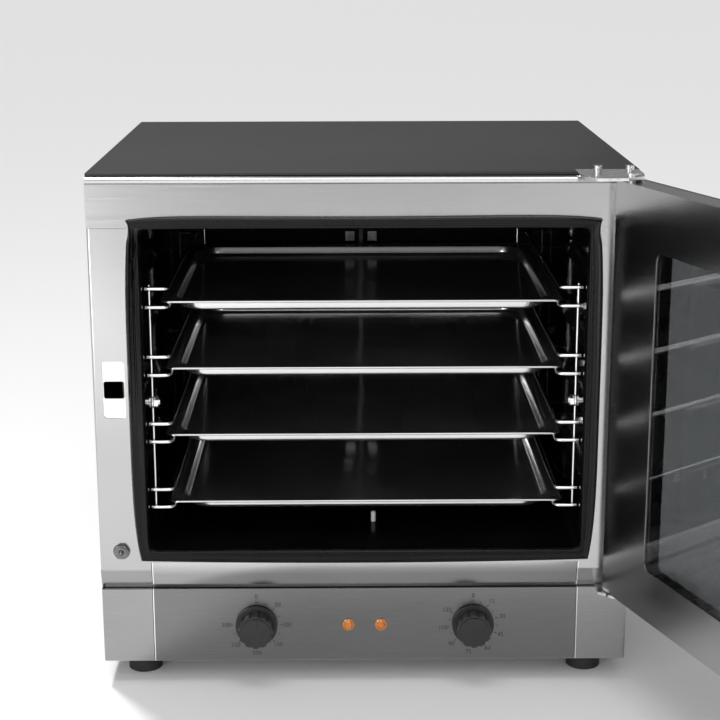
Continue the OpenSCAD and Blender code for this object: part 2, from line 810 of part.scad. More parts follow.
module baffle_screw() {
    difference() {
        union() {
            translate([-5.7, -washer_t, -6]) cube([11.4, washer_t, 12]);
            bar_y(0, -1, 8, 0, 2);
            bar_y(0, -washer_t - 2.3, -washer_t + 0.1, 0, 3.8);
        }
        translate([-2.6, -washer_t - 2.7, -0.5]) cube([5.2, 1.6, 1]);
        translate([-0.5, -washer_t - 2.7, -2.6]) cube([1, 1.6, 5.2]);
    }
}

module baffle_screws() {
    color(bright_c) from_face() for (s = [-1, 1], dz = tab_rise)
        translate([s * tab_x, baffle_y - baffle_t, fan_z + dz]) baffle_screw();
}

// Fan wheels: hub, back plate, curved blades and a stiffening ring, on a shaft into the motor
blade_front = baffle_gap - 10;
blade_back = 10;

module fan(s) {
    front = cavity_d - blade_front;
    back = cavity_d - blade_back;
    translate([s * fan_x, 0, fan_z]) {
        bar_y(0, front, motor_front + motor_l - 8, 0, shaft_r);
        along_y(front, back) difference() {
            circle(11);
            circle(shaft_r - 0.5);
        }
        along_y(back - 1.2, back) difference() {
            circle(fan_r - 2);
            circle(shaft_r - 0.5);
        }
        along_y(front, front + 1.2) difference() {
            circle(fan_r);
            circle(fan_r - 6);
        }
        for (k = [0:blades - 1]) rotate([0, k * 360 / blades, 0]) along_y(front, back - 0.5)
            translate([fan_r * 0.42, -1]) intersection() {
                translate([0, -22]) difference() {
                    circle(fan_r * 0.56, $fn = 64);
                    circle(fan_r * 0.56 - 1.4, $fn = 64);
                }
                translate([0, -10]) square([fan_r * 0.54, 60]);
            }
    }
}

module left_fan() color(bright_c) from_face() fan(-1);
module right_fan() color(bright_c) from_face() fan(1);

// Motors on the rear wall
motor_plate = 84;
motor_front = cavity_d + cavity_t;
motor_l = 46;

module motor(s) {
    translate([s * fan_x, 0, fan_z]) difference() {
        union() {
            along_y(motor_front, motor_front + 2) rounded(motor_plate, motor_plate, 8);
            bar_y(0, motor_front, motor_front + motor_l, 0, 24);
            along_y(motor_front + 10, motor_front + 36) rounded(66, 58, 5);
        }
        bar_y(0, motor_front - 1, motor_front + motor_l - 6, 0, shaft_r + run_fit);
    }
}

module left_motor() color(dark_c) from_face() motor(-1);
module right_motor() color(dark_c) from_face() motor(1);

// Ring heaters: two turns round each fan, joined by two legs that pass through the rear wall
heater_leg = 14;
leg_r = 3.2;
heater_drop = sqrt(heater_r * heater_r - heater_leg * heater_leg);
heater_first = 34;
heater_second = 20;
leg_out = 16;

module heater(s) {
    turns = [cavity_d - heater_first, cavity_d - heater_second];
    translate([s * fan_x, 0, fan_z]) {
        for (y = turns) translate([0, y, 0]) rotate([90, 0, 0])
            rotate_extrude() translate([heater_r, 0]) circle(heater_tube);
        for (e = [-1, 1]) bar_y(e * heater_leg, turns[0], cavity_d + leg_out, -heater_drop, leg_r);
    }
}

module left_heater() color(bright_c) from_face() heater(-1);
module right_heater() color(bright_c) from_face() heater(1);

// Temperature probe through the rear wall
probe_r = 3;
probe_x = 60;
probe_z = ceiling_z - 24;

module temperature_probe() {
    color(bright_c) from_face() {
        bar_y(probe_x, baffle_y + 4, cavity_d + 14, probe_z, probe_r);
        bar_y(probe_x, cavity_d - 2.5, cavity_d, probe_z, probe_r + 3);
    }
}

// Vent pipe from the cavity through the rear panel
vent_t = 1.4;

module vent_pipe() {
    color(steel_c) from_face() translate([0, 0, vent_z]) difference() {
        union() {
            bar_y(0, motor_front, body_d + 1, 0, vent_r - vent_t / 2);
            bar_y(0, body_d + 0.4, body_d + vent_out, 0, vent_r);
            bar_y(0, motor_front, motor_front + 2, 0, vent_r + 4);
        }
        bar_y(0, cavity_d, body_d + vent_out + 1, 0, vent_r - vent_t);
    }
}

// Hinge plates: the upper one lies on the rail in the notch of the top panel, the lower one on an end cap
screw_x = half_w - 46.5;
screw_x2 = half_w - 13;
screw_y = 12;
screw_r = 3;
lower_plate_x = half_w - 36;
lower_screw_x = half_w - 18;
pivot_r = 13;
plate_front = 42;
chamfer = 12;
pin_in = 16;
pin_head_t = 2.5;

module hinge_plate(outline) {
    difference() {
        linear_extrude(plate_t) difference() {
            union() {
                polygon(outline);
                translate([hinge_x, -hinge_y]) circle(pivot_r);
            }
            translate([hinge_x, -hinge_y]) circle(pin_r + run_fit);
        }
        children();
    }
}

module hinge_plates() {
    back = notch_y;
    round_in = pivot_r * cos(45);
    nose = [[hinge_x + pivot_r, -hinge_y], [half_w - 1, -5], [half_w - 1, back]];
    wide = [
        [notch_x, back], [notch_x, -chamfer], [notch_x + chamfer, -plate_front],
        [hinge_x - pivot_r / 2, -plate_front], [hinge_x + round_in, -hinge_y - round_in]
    ];
    narrow = [[lower_plate_x, back], [lower_plate_x, -hinge_y], [hinge_x, -hinge_y - pivot_r]];
    color(bright_c) from_face() {
        translate([0, 0, rail_top]) hinge_plate(concat(wide, nose))
            for (x = [screw_x, screw_x2]) translate([x, screw_y, 0]) screw_hole();
        translate([0, 0, lower_plate_z]) hinge_plate(concat(narrow, nose))
            translate([lower_screw_x, screw_y, 0]) screw_hole();
    }
}

module upright(low, high, r) {
    translate([0, 0, low]) cylinder(h = high - low, r = r);
}

module hinge_pins() {
    color(bright_c) from_face() translate([hinge_x, -hinge_y, 0]) {
        upright(door_high - pin_in, rail_top + plate_t, pin_r);
        upright(rail_top + plate_t, rail_top + plate_t + pin_head_t, pin_r + 3);
        upright(lower_plate_z, door_low + pin_in, pin_r);
        upright(lower_plate_z - pin_head_t, lower_plate_z, pin_r + 3);
        upright(lower_plate_z + plate_t, door_low - 0.1, pin_r + 2.4);
    }
}

module cap_screw(x, top) {
    translate([x, screw_y, top]) difference() {
        union() {
            cylinder(h = 6, r = 4.8);
            translate([0, 0, -plate_t - 5]) cylinder(h = plate_t + 5, r = screw_r);
        }
        translate([0, 0, 3]) cylinder(h = 4, r = 2.9, $fn = 6);
    }
}

module low_screw() {
    translate([lower_screw_x, screw_y, lower_plate_z + plate_t - 9]) cylinder(h = 9, r = screw_r);
    translate([lower_screw_x, screw_y, lower_plate_z - sheet_t - 4.5]) cylinder(h = 4.5, r = 6, $fn = 6);
}

module hinge_screws() {
    color(bright_c) from_face() {
        cap_screw(screw_x, rail_top + plate_t);
        cap_screw(screw_x2, rail_top + plate_t);
        low_screw();
    }
}

// Striker plate behind the slot of the left stile, with the small opening that the latch cam enters
striker_t = 2;
open_w = 22;
open_h = 19;

module striker_plate() {
    color(bright_c) from_face() translate([-latch_x, 0, latch_z]) along_y(sheet_t, sheet_t + striker_t)
        difference() {
            translate([-2, 0]) rounded(slot_w + 8, slot_h + 30, 3);
            rounded(open_w, open_h, 2.5);
        }
}

// Door switch: barrel with a flange nut on the stile, and its sprung plunger
plunger_r = 3;
switch_travel = 3;
plunger_tip = gasket_h + 0.1;

module door_switch() {
    color(bright_c) from_face() translate([-switch_x, 0, switch_z]) difference() {
        union() {
            bar_y(0, -2, 22, 0, 6);
            bar_y(0, -1, 0, 0, 9.3);
            bar_y(0, -5, -1, 0, 8.6, $fn = 6);
            bar_y(0, -6, -5, 0, 6);
            along_y(sheet_t, sheet_t + 4) circle(8.6, $fn = 6);
        }
        bar_y(0, -7, 16, 0, plunger_r + run_fit);
    }
}

module switch_plunger() {
    color(bright_c) from_face() translate([-switch_x, 0, switch_z]) {
        bar_y(0, plunger_r - plunger_tip, 15 - switch_travel, 0, plunger_r);
        translate([0, plunger_r - plunger_tip, 0]) intersection() {
            sphere(plunger_r);
            translate([-5, -5, -5]) cube([10, 5 + eps, 10]);
        }
    }
}

// Knobs: a skirt, a fluted grip and a raised pointer on a shaft
knob_l = 22;

module knob(s) {
    grip_r = knob_r - 4;
    translate([s * knob_x, 0, knob_z]) {
        bar_y(0, -5, -1.5, 0, knob_r);
        along_y(-knob_l, -5 + eps) difference() {
            circle(grip_r);
            for (k = [0:11]) rotate(k * 30 + 15) translate([grip_r + 1.8, 0]) circle(3.2);
        }
        bar_y(0, -knob_l - 1.2, -knob_l + eps, 0, grip_r - 3);
        translate([-1.2, -knob_l - 2, 3]) cube([2.4, 2, grip_r - 6.5]);
        bar_y(0, -6, 24, 0, 3);
    }
}

module timer_knob() color(plastic_c) from_face() knob(1);
module thermostat_knob() color(plastic_c) from_face() knob(-1);

// Timer and thermostat behind the fascia
module control_body(s, w, h, l) {
    translate([s * knob_x, 0, knob_z]) difference() {
        union() {
            translate([-w / 2, sheet_t, -h / 2]) cube([w, l, h]);
            bar_y(0, 0, sheet_t + 1, 0, 5);
        }
        bar_y(0, -1, 26, 0, 3 + run_fit);
    }
}

module timer_body() color(steel_c) from_face() control_body(1, 46, 46, 34);
module thermostat_body() color(steel_c) from_face() control_body(-1, 36, 44, 30);

// Pilot lamps: domed lenses on barrels through the fascia
module pilot_lamps() {
    color([0.85, 0.45, 0.1]) from_face() for (s = [-1, 1]) translate([s * lamp_x, 0, knob_z]) {
        rotate([90, 0, 0]) rotate_extrude() polygon([
            [0, -20], [lamp_r, -20], [lamp_r, 0], [lamp_r + 1.6, 0], [lamp_r + 1.6, 1.6], [lamp_r, 2.4],
            [lamp_r * 0.7, 4.2], [0, 5]
        ]);
    }
}

// Cable gland in the rear panel
module cable_gland() {
    color(plastic_c) from_face() translate([gland_x, 0, gland_z]) difference() {
        union() {
            bar_y(0, body_d - 10, body_d + 14, 0, cable_r + 3.7);
            along_y(body_d, body_d + 5) circle(cable_r + 7, $fn = 6);
            bar_y(0, body_d + 5, body_d + 16, 0, cable_r + 5);
            along_y(body_d - sheet_t - 5, body_d - sheet_t) circle(cable_r + 7, $fn = 6);
        }
        bar_y(0, body_d - 12, body_d + 17, 0, cable_r);
    }
}

// Door frame: folded pan with the window, hinge bushes and the spindle bush
bush_l = 20;
bush_t = 2.6;
web_t = 6;

module door_frame() {
    h = door_high - door_low;
    wall = door_t - outer_pane_t;
    bushes = [door_low, door_high - bush_l];
    color(steel_c) from_face() swing() difference() {
        union() {
            difference() {
                translate([-door_half, -door_back - wall, door_low]) cube([2 * door_half, wall, h]);
                translate([-door_half + sheet_t, -door_back - wall - 1, door_low + sheet_t])
                    cube([2 * door_half - 2 * sheet_t, wall + 1 - sheet_t, h - 2 * sheet_t]);
                translate([0, 0, (window_low + window_high) / 2]) along_y(-door_back - 2, -door_back + 1)
                    rounded(2 * window_half, window_high - window_low, 10);
            }
            for (z = bushes) translate([hinge_x, -hinge_y, z]) {
                cylinder(h = bush_l, r = pin_r + bush_t);
                translate([0, -web_t / 2, 0]) cube([door_half - hinge_x, web_t, bush_l]);
            }
            bar_y(-spindle_x, -door_back - wall + 0.2, -door_back, latch_z, spindle_r + 4);
        }
        for (z = [door_low - 1, door_high - bush_l + 1])
            translate([hinge_x, -hinge_y, z]) cylinder(h = bush_l, r = pin_r + run_fit);
        bar_y(-spindle_x, -door_front, -door_back + 1, latch_z, spindle_r + run_fit);
    }
}

pane_lap = 14;
spacer_w = 8;

module inner_glass() {
    color(glass_c) from_face() swing() translate([0, 0, (window_low + window_high) / 2])
        along_y(-door_back - sheet_t - inner_pane_t, -door_back - sheet_t)
        rounded(2 * window_half + 2 * pane_lap, window_high - window_low + 2 * pane_lap, 6);
}

module outer_glass() {
    color(glass_c) from_face() swing() difference() {
        translate([0, 0, (door_low + door_high) / 2]) along_y(-door_front, -door_front + outer_pane_t)
            rounded(2 * door_half, door_high - door_low, 6);
        bar_y(-spindle_x, -door_front - 1, -door_front + outer_pane_t + 1, latch_z, spindle_r + 1);
    }
}

// Spacer ring between the two panes
module glass_spacers() {
    front = -door_front + outer_pane_t;
    back = -door_back - sheet_t - inner_pane_t;
    w = 2 * window_half + 2 * pane_lap;
    h = window_high - window_low + 2 * pane_lap;
    middle = (window_low + window_high) / 2;
    color(rubber_c) from_face() swing() translate([0, 0, middle]) along_y(front, back) difference() {
        rounded(w, h, 6);
        rounded(w - 2 * spacer_w, h - 2 * spacer_w, 6);
    }
}

// Handle: rosette, spindle and a lever that lies level when the latch is free
lever_y = 24;
lever_t = 12;
lever_half = 9;
waist_half = 7.4;
waist_r = 150;
rosette_t = 5;

module door_handle() {
    front = -door_front;
    color(steel_c) from_face() swing() translate([-spindle_x, 0, latch_z]) {
        bar_y(0, front - rosette_t, front - seam, 0, 14);
        bar_y(0, front - lever_y - lever_t, front - rosette_t + 1, 0, 11);
        bar_y(0, front - rosette_t, cam_y + cam_t, 0, spindle_r);
        along_y(front - lever_y - lever_t, front - lever_y) difference() {
            union() {
                circle(13);
                translate([0, -lever_half]) square([lever_l - lever_half, 2 * lever_half]);
                translate([lever_l - lever_half, 0]) circle(lever_half);
            }
            for (side = [-1, 1]) translate([lever_l * 0.52, side * (waist_r + waist_half)]) circle(waist_r);
        }
    }
}

// Latch cam on the end of the spindle; level it passes the striker, upright it hooks behind it
cam_reach = 6.4;
cam_half = 6;

module latch_cam() {
    color(bright_c) from_face() swing() translate([-spindle_x, 0, latch_z]) along_y(cam_y, cam_y + cam_t)
        difference() {
            union() {
                translate([0, -cam_half]) square([cam_reach, 2 * cam_half]);
                translate([cam_reach, 0]) circle(cam_half);
                circle(spindle_r + 2);
            }
            circle(spindle_r);
        }
}

// Trays: a hemmed flange round a shallow pan whose bottom is bent round with a small radius
hem_w = 2.5;
tray_r = 10;

// The pan's outline, drawn in by a margin, as a thin slab at one height
module pan_slab(z, t, margin) {
    w = tray_w - 2 * flange_w - 2 * margin;
    d = tray_d - 2 * flange_w - 2 * margin;
    translate([0, 0, z]) linear_extrude(t) rounded(w, d, pan_r - 0.7 * margin, $fn = 32);
}

// The pan as a solid with a bend of radius r round its bottom, up to a height over the flange
module pan_form(r, high) {
    low = rim_h - tray_h + pan_bend;
    hull() {
        for (a = [0:22.5:90]) pan_slab(low - r * cos(a), 0.1, pan_bend - r * sin(a));
        pan_slab(high - 0.1, 0.1, pan_bend - r);
    }
}

module tray(k) {
    level = floor_z + first_level + (levels - k) * level_pitch + wire_r;
    place = [tray_shift[k - 1], tray_inset[k - 1] + tray_d / 2, level];
    color(bright_c) from_face() translate(place) difference() {
        union() {
            linear_extrude(tray_t) rounded(tray_w, tray_d, tray_r);
            linear_extrude(rim_h) difference() {
                rounded(tray_w, tray_d, tray_r);
                rounded(tray_w - 2 * hem_w, tray_d - 2 * hem_w, tray_r - hem_w + 0.5);
            }
            pan_form(pan_bend, tray_t);
        }
        pan_form(pan_bend - tray_t, rim_h + 1);
    }
}

module tray_1() tray(1);
module tray_2() tray(2);
module tray_3() tray(3);
module tray_4() tray(4);

top_panel();
left_side_panel();
right_side_panel();
rear_panel();
base_pan();
feet();
front_top_rail();
left_stile();
right_stile();
lower_apron();
control_fascia();
fascia_end_caps();
cavity_front_flange();
cavity_ceiling();
cavity_floor();
cavity_left_wall();
cavity_right_wall();
cavity_rear_wall();
door_gasket();
insulation_wrap();
insulation_rear();
left_rack();
right_rack();
rack_studs();
rack_nuts();
left_baffle();
right_baffle();
baffle_bracket();
baffle_screws();
left_fan();
right_fan();
left_motor();
right_motor();
left_heater();
right_heater();
temperature_probe();
vent_pipe();
floor_stud();
hinge_plates();
hinge_pins();
hinge_screws();
striker_plate();
door_switch();
switch_plunger();
timer_knob();
thermostat_knob();
timer_body();
thermostat_body();
pilot_lamps();
cable_gland();
door_frame();
inner_glass();
outer_glass();
glass_spacers();
door_handle();
latch_cam();
tray_1();
tray_2();
tray_3();
tray_4();
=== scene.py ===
import bmesh
import bpy
from math import cos, exp, pi, radians, sin
from mathutils import Matrix, Vector


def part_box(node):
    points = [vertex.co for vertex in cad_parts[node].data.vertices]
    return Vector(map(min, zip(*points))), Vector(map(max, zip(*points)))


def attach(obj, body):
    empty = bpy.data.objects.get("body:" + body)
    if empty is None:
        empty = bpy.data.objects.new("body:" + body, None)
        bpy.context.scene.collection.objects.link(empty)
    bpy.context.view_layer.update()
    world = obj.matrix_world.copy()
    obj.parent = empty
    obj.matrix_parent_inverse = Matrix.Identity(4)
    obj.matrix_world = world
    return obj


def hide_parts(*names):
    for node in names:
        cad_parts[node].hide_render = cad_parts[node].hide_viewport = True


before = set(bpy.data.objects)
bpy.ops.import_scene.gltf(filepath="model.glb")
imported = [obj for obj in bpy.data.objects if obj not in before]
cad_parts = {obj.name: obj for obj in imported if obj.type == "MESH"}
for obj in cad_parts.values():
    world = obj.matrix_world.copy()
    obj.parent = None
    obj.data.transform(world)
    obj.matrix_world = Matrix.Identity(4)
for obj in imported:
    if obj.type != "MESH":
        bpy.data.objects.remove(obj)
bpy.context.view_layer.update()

# Studio: a pale floor and broad soft lights round an oven that stands in the open.
# The camera stands in front at the height of a person's chest and looks down a little.
EYE = Vector((-0.018, -1.9507, 0.8069))
LENS_MM = 82.5
PITCH_DOWN = radians(14.38)
YAW_RIGHT = radians(0.45)
ROLL = radians(0.13)
SENSOR_MM = 36.0
FAR_SIGHT = 200.0
AIR_STRENGTH = 0.24
FLOOR_HALF = 30.0

camera_data = bpy.data.cameras.new("studio_camera")
camera_data.lens = LENS_MM
camera_data.sensor_width = SENSOR_MM
camera_data.clip_end = FAR_SIGHT
camera = bpy.data.objects.new("studio_camera", camera_data)
bpy.context.scene.collection.objects.link(camera)
camera.matrix_world = (
    Matrix.Translation(EYE)
    @ Matrix.Rotation(-YAW_RIGHT, 4, "Z")
    @ Matrix.Rotation(pi / 2 - PITCH_DOWN, 4, "X")
    @ Matrix.Rotation(-ROLL, 4, "Z")
)
bpy.context.scene.camera = camera
bpy.context.scene.view_settings.view_transform = "Standard"

world = bpy.data.worlds.new("studio_air")
world.use_nodes = True
air = world.node_tree.nodes["Background"]
air.inputs["Color"].default_value = (1.0, 1.0, 1.0, 1.0)
air.inputs["Strength"].default_value = AIR_STRENGTH
bpy.context.scene.world = world


def softbox(name, place, aim, width, height, watts):
    """A flat soft light that faces the point it is aimed at."""
    data = bpy.data.lights.new(name, "AREA")
    data.shape = "RECTANGLE"
    data.size = width
    data.size_y = height
    data.energy = watts
    lamp = bpy.data.objects.new(name, data)
    bpy.context.scene.collection.objects.link(lamp)
    lamp.location = place
    lamp.rotation_mode = "QUATERNION"
    lamp.rotation_quaternion = (Vector(aim) - Vector(place)).to_track_quat("-Z", "Y")


softbox("overhead", (-0.15, -0.6, 2.6), (0.0, -0.2, 0.4), width=1.8, height=1.0, watts=17)
softbox("front_box", (-0.15, -2.6, 2.25), (0.0, -0.2, 0.4), width=2.0, height=2.2, watts=22)
softbox("low_left", (-1.15, -2.3, 0.45), (0.0, -0.25, 0.4), width=0.5, height=0.9, watts=15)
softbox("low_right", (1.05, -2.3, 0.4), (0.0, -0.25, 0.4), width=0.4, height=0.8, watts=5)
softbox("strip_left", (-2.2, -2.0, 1.3), (0.0, -0.25, 0.35), width=0.5, height=2.0, watts=8)


def high_key(strength, left_of_back, elevation, softness):
    """A soft sun from behind the oven's left, which lays its shadow on the floor before it."""
    data = bpy.data.lights.new("high_key", "SUN")
    data.energy = strength
    data.angle = softness
    lamp = bpy.data.objects.new("high_key", data)
    bpy.context.scene.collection.objects.link(lamp)
    level = cos(elevation)
    toward = Vector((-sin(left_of_back) * level, cos(left_of_back) * level, sin(elevation)))
    lamp.rotation_mode = "QUATERNION"
    lamp.rotation_quaternion = toward.to_track_quat("Z", "Y")


high_key(strength=2.2, left_of_back=radians(31), elevation=radians(60), softness=radians(9))


def plain_floor():
    """A broad pale floor under the oven."""
    shell = bmesh.new()
    bmesh.ops.create_grid(shell, x_segments=2, y_segments=2, size=FLOOR_HALF)
    mesh = bpy.data.meshes.new("studio_floor")
    shell.to_mesh(mesh)
    shell.free()
    paint = bpy.data.materials.new("pale_floor")
    paint.use_nodes = True
    shader = paint.node_tree.nodes["Principled BSDF"]
    shader.inputs["Base Color"].default_value = (0.9, 0.9, 0.9, 1.0)
    shader.inputs["Roughness"].default_value = 0.8
    shader.inputs["Specular IOR Level"].default_value = 0.1
    mesh.materials.append(paint)
    ground = bpy.data.objects.new("studio_floor", mesh)
    bpy.context.scene.collection.objects.link(ground)


plain_floor()


# Casing: side panels, rear panel, base pan and the whole front frame are satin stainless sheet.
# The front sheets are rolled or creased at their edges, and the grain runs across the oven.
NOISE_LOW = 0.3
NOISE_HIGH = 0.7
GRAIN_ACROSS = 1500.0
GRAIN_ALONG = 9.0
GRAIN_DEPTH = 0.0001
WAVE_DEPTH = 0.0012
CREASE_Z = 0.1336
CREASE_SHADE_FADE = (CREASE_Z - 0.002, CREASE_Z + 0.001)
LEAN_SHADE = 0.72
SEAM_LEFT = -0.2331
SEAM_RIGHT = 0.2347
SEAM_HIGHLIGHT_REACH = 0.0005
SEAM_HIGHLIGHT_TONE = (0.95, 0.95, 0.95, 1.0)


def finish_start(name, rough, specular=0.5, metallic=0.0):
    """A new material with its object coordinates, ready for a pattern."""
    paint = bpy.data.materials.new(name)
    paint.use_nodes = True
    shader = paint.node_tree.nodes["Principled BSDF"]
    shader.inputs["Roughness"].default_value = rough
    shader.inputs["Specular IOR Level"].default_value = specular
    shader.inputs["Metallic"].default_value = metallic
    place = paint.node_tree.nodes.new("ShaderNodeTexCoord")
    return paint, shader, place.outputs["Object"]


def noise(paint, place, stretch, detail=3.0):
    """Noise with the given number of grains per metre along X, Y and Z."""
    nodes, links = paint.node_tree.nodes, paint.node_tree.links
    mapping = nodes.new("ShaderNodeMapping")
    mapping.inputs["Scale"].default_value = stretch
    grain = nodes.new("ShaderNodeTexNoise")
    grain.inputs["Scale"].default_value = 1.0
    grain.inputs["Detail"].default_value = detail
    links.new(place, mapping.inputs["Vector"])
    links.new(mapping.outputs["Vector"], grain.inputs["Vector"])
    return grain.outputs["Fac"]


def spread_value(paint, source, low, high, socket):
    """Drives a socket between two values by a pattern."""
    nodes, links = paint.node_tree.nodes, paint.node_tree.links
    reach = nodes.new("ShaderNodeMapRange")
    reach.inputs["From Min"].default_value = NOISE_LOW
    reach.inputs["From Max"].default_value = NOISE_HIGH
    reach.inputs["To Min"].default_value = low
    reach.inputs["To Max"].default_value = high
    links.new(source, reach.inputs["Value"])
    links.new(reach.outputs["Result"], socket)


def two_tones(paint, source, dark, light, socket, start=NOISE_LOW, end=NOISE_HIGH):
    """Drives a colour socket from one tone to another by a pattern."""
    nodes, links = paint.node_tree.nodes, paint.node_tree.links
    ramp = nodes.new("ShaderNodeValToRGB")
    ramp.color_ramp.elements[0].position = start
    ramp.color_ramp.elements[1].position = end
    ramp.color_ramp.elements[0].color = (*dark, 1.0)
    ramp.color_ramp.elements[1].color = (*light, 1.0)
    links.new(source, ramp.inputs["Fac"])
    links.new(ramp.outputs["Color"], socket)


def relief(paint, shader, source, strength, depth, under=None):
    """Adds a pattern to the shader's surface relief, over another relief if one is given."""
    nodes, links = paint.node_tree.nodes, paint.node_tree.links
    bump = nodes.new("ShaderNodeBump")
    bump.inputs["Strength"].default_value = strength
    bump.inputs["Distance"].default_value = depth
    links.new(source, bump.inputs["Height"])
    if under is not None:
        links.new(under, bump.inputs["Normal"])
    links.new(bump.outputs["Normal"], shader.inputs["Normal"])
    return bump.outputs["Normal"]


def grey(value):
    """A tone of grey with a trace of blue."""
    return (value, value, value * 1.01)


def satin_steel(name, along, tone=0.46, rough=0.2, wave=0.25):
    """Satin sheet: fine grain along one axis, slight waves and faint smudges."""
    paint, shader, place = finish_start(name, rough, metallic=1.0)
    stretch = [GRAIN_ACROSS, GRAIN_ACROSS, GRAIN_ACROSS]
    stretch["XYZ".index(along)] = GRAIN_ALONG
    fine = noise(paint, place, stretch, 2.0)
    smudge = noise(paint, place, (7.0, 7.0, 9.0), 4.0)
    two_tones(paint, smudge, grey(tone * 0.95), grey(tone * 1.03), shader.inputs["Base Color"])
    spread_value(paint, fine, rough - 0.03, rough + 0.05, shader.inputs["Roughness"])
    waves = relief(paint, shader, noise(paint, place, (5.0, 5.0, 5.0), 1.0), wave, WAVE_DEPTH)
    relief(paint, shader, fine, 0.06, GRAIN_DEPTH, waves)
    return paint


def object_axis(paint, axis):
    """The place along one axis of the object, in metres."""
    nodes, links = paint.node_tree.nodes, paint.node_tree.links
    axes = nodes.new("ShaderNodeSeparateXYZ")
    links.new(nodes["Texture Coordinate"].outputs["Object"], axes.inputs["Vector"])
    return axes.outputs[axis]


def axis_rise(paint, axis, start, end, low, high):
    """A value that goes from low to high between two places along an axis."""
    nodes, links = paint.node_tree.nodes, paint.node_tree.links
    rise = nodes.new("ShaderNodeMapRange")
    rise.inputs["From Min"].default_value = start
    rise.inputs["From Max"].default_value = end
    rise.inputs["To Min"].default_value = low
    rise.inputs["To Max"].default_value = high
    links.new(object_axis(paint, axis), rise.inputs["Value"])
    return rise.outputs["Result"]


def tint_step(paint, kind):
    """Puts a mixing step between a material's pattern and its base colour."""
    nodes, links = paint.node_tree.nodes, paint.node_tree.links
    base = nodes["Principled BSDF"].inputs["Base Color"]
    blend = nodes.new("ShaderNodeMix")
    blend.data_type = "RGBA"
    blend.blend_type = kind
    links.new(base.links[0].from_socket, blend.inputs["A"])
    links.new(blend.outputs["Result"], base)
    return blend


def painted_shade_toward_foot(paint, low, high, shade_tone):
    """Darkens a sheet's colour below a given height, as painted shade."""
    blend = tint_step(paint, "MULTIPLY")
    blend.inputs["Factor"].default_value = 1.0
    paint.node_tree.links.new(axis_rise(paint, "Z", low, high, shade_tone, 1.0), blend.inputs["B"])


def painted_edge_highlight(paint, seam):
    """Paints a bright line into the colour along a sheet's cut edge at an upright seam: a painted
    highlight.
    """
    nodes, links = paint.node_tree.nodes, paint.node_tree.links
    near = nodes.new("ShaderNodeMath")
    near.operation = "COMPARE"
    near.inputs[1].default_value = seam
    near.inputs[2].default_value = SEAM_HIGHLIGHT_REACH
    links.new(object_axis(paint, "X"), near.inputs[0])
    blend = tint_step(paint, "MIX")
    blend.inputs["B"].default_value = SEAM_HIGHLIGHT_TONE
    links.new(near.outputs["Value"], blend.inputs["Factor"])


def dress(material, *nodes):
    """Gives CAD nodes their finish."""
    for node in nodes:
        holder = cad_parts[node]
        holder.data.materials.clear()
        holder.data.materials.append(material)


front_steel = satin_steel("satin_front_sheet", "X")
side_steel = satin_steel("satin_side_sheet", "Y")
stile_steel = satin_steel("satin_stile_sheet", "X")
# Painted shade darkens the front rail, both stiles and the stile hems below the crease.
painted_shade_toward_foot(front_steel, *CREASE_SHADE_FADE, LEAN_SHADE)
painted_shade_toward_foot(stile_steel, *CREASE_SHADE_FADE, LEAN_SHADE)
# A painted highlight lines the right stile's cut edge at its seam.
painted_edge_highlight(stile_steel, SEAM_RIGHT)
dress(front_steel, "front_top_rail", "left_stile")
dress(stile_steel, "right_stile")
dress(satin_steel("satin_rear_sheet", "X"), "rear_panel")
dress(side_steel, "left_side_panel", "right_side_panel", "base_pan")


# Lower apron, fascia and the sheet under the gasket: satin steel with rolled and hemmed edges.
# The apron rolls back to the shadow gap, and painted highlights line the cut edges beside the upright
# seams.
FRONT_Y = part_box("control_fascia")[0].y
APRON_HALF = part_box("lower_apron")[1].x
APRON_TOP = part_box("lower_apron")[1].z
APRON_STRAIGHT = 0.0005
APRON_ROLL_R = 0.080
APRON_SWEEP = radians(9)
APRON_FOOT = 0.1115
APRON_STEPS = 12
APRON_RETURN = 0.012
APRON_EDGE = 0.0004
APRON_SHADE_FADE = (0.1275, 0.1425)
APRON_FOOT_SHADE = 0.58
SHEET_T = 0.0012
LEAN_FOOT = 0.0014
LEAN_SLOPE = 0.29
LEAN_BEHIND = 0.0059
LEAN_GAP = 0.0006
LEAN_SHORT = 0.0005
RAIL_END_IN = 0.0013
RAIL_END_T = 0.0006
RAIL_END_R = 0.0068
RAIL_END_SET = 0.0003
RAIL_END_BACK = 0.0002
RAIL_END_STEPS = 8
TRIM_T = 0.00012
TRIM_COLUMNS = (-0.2494, -0.2400, 0.2400, 0.2494)
TRIM_ROWS = (0.1418, 0.1465, 0.5210, 0.5280)
SHARP_FOLD = radians(60)
SMOOTH_UP_TO = radians(35)


def only(kind, geom):
    """The vertices or edges among the parts that an operator made."""
    return [part for part in geom if isinstance(part, kind)]


def add_piece(name, shell, material, body, crease=SMOOTH_UP_TO):
    """Turns a shell into a piece that rides on a body, smooth except at its sharp edges."""
    for face in shell.faces:
        face.smooth = True
    for edge in shell.edges:
        edge.smooth = edge.calc_face_angle(0.0) < crease
    mesh = bpy.data.meshes.new(name)
    shell.to_mesh(mesh)
    shell.free()
    mesh.materials.append(material)
    made = bpy.data.objects.new(name, mesh)
    bpy.context.scene.collection.objects.link(made)
    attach(made, body)
    return made


def give_wall(shell, thickness):
    """Gives an open sheet its thickness, away from its normals."""
    bmesh.ops.recalc_face_normals(shell, faces=shell.faces)
    bmesh.ops.solidify(shell, geom=shell.faces[:], thickness=thickness)
    bmesh.ops.recalc_face_normals(shell, faces=shell.faces)


def round_edges(shell, reach):
    """Takes the sharpness off a sheet's cut edges."""
    sharp = [e for e in shell.edges if e.calc_face_angle(0.0) > SHARP_FOLD]
    bmesh.ops.bevel(
        shell, geom=sharp, offset=reach, segments=2, profile=0.5, affect="EDGES", material=-1
    )


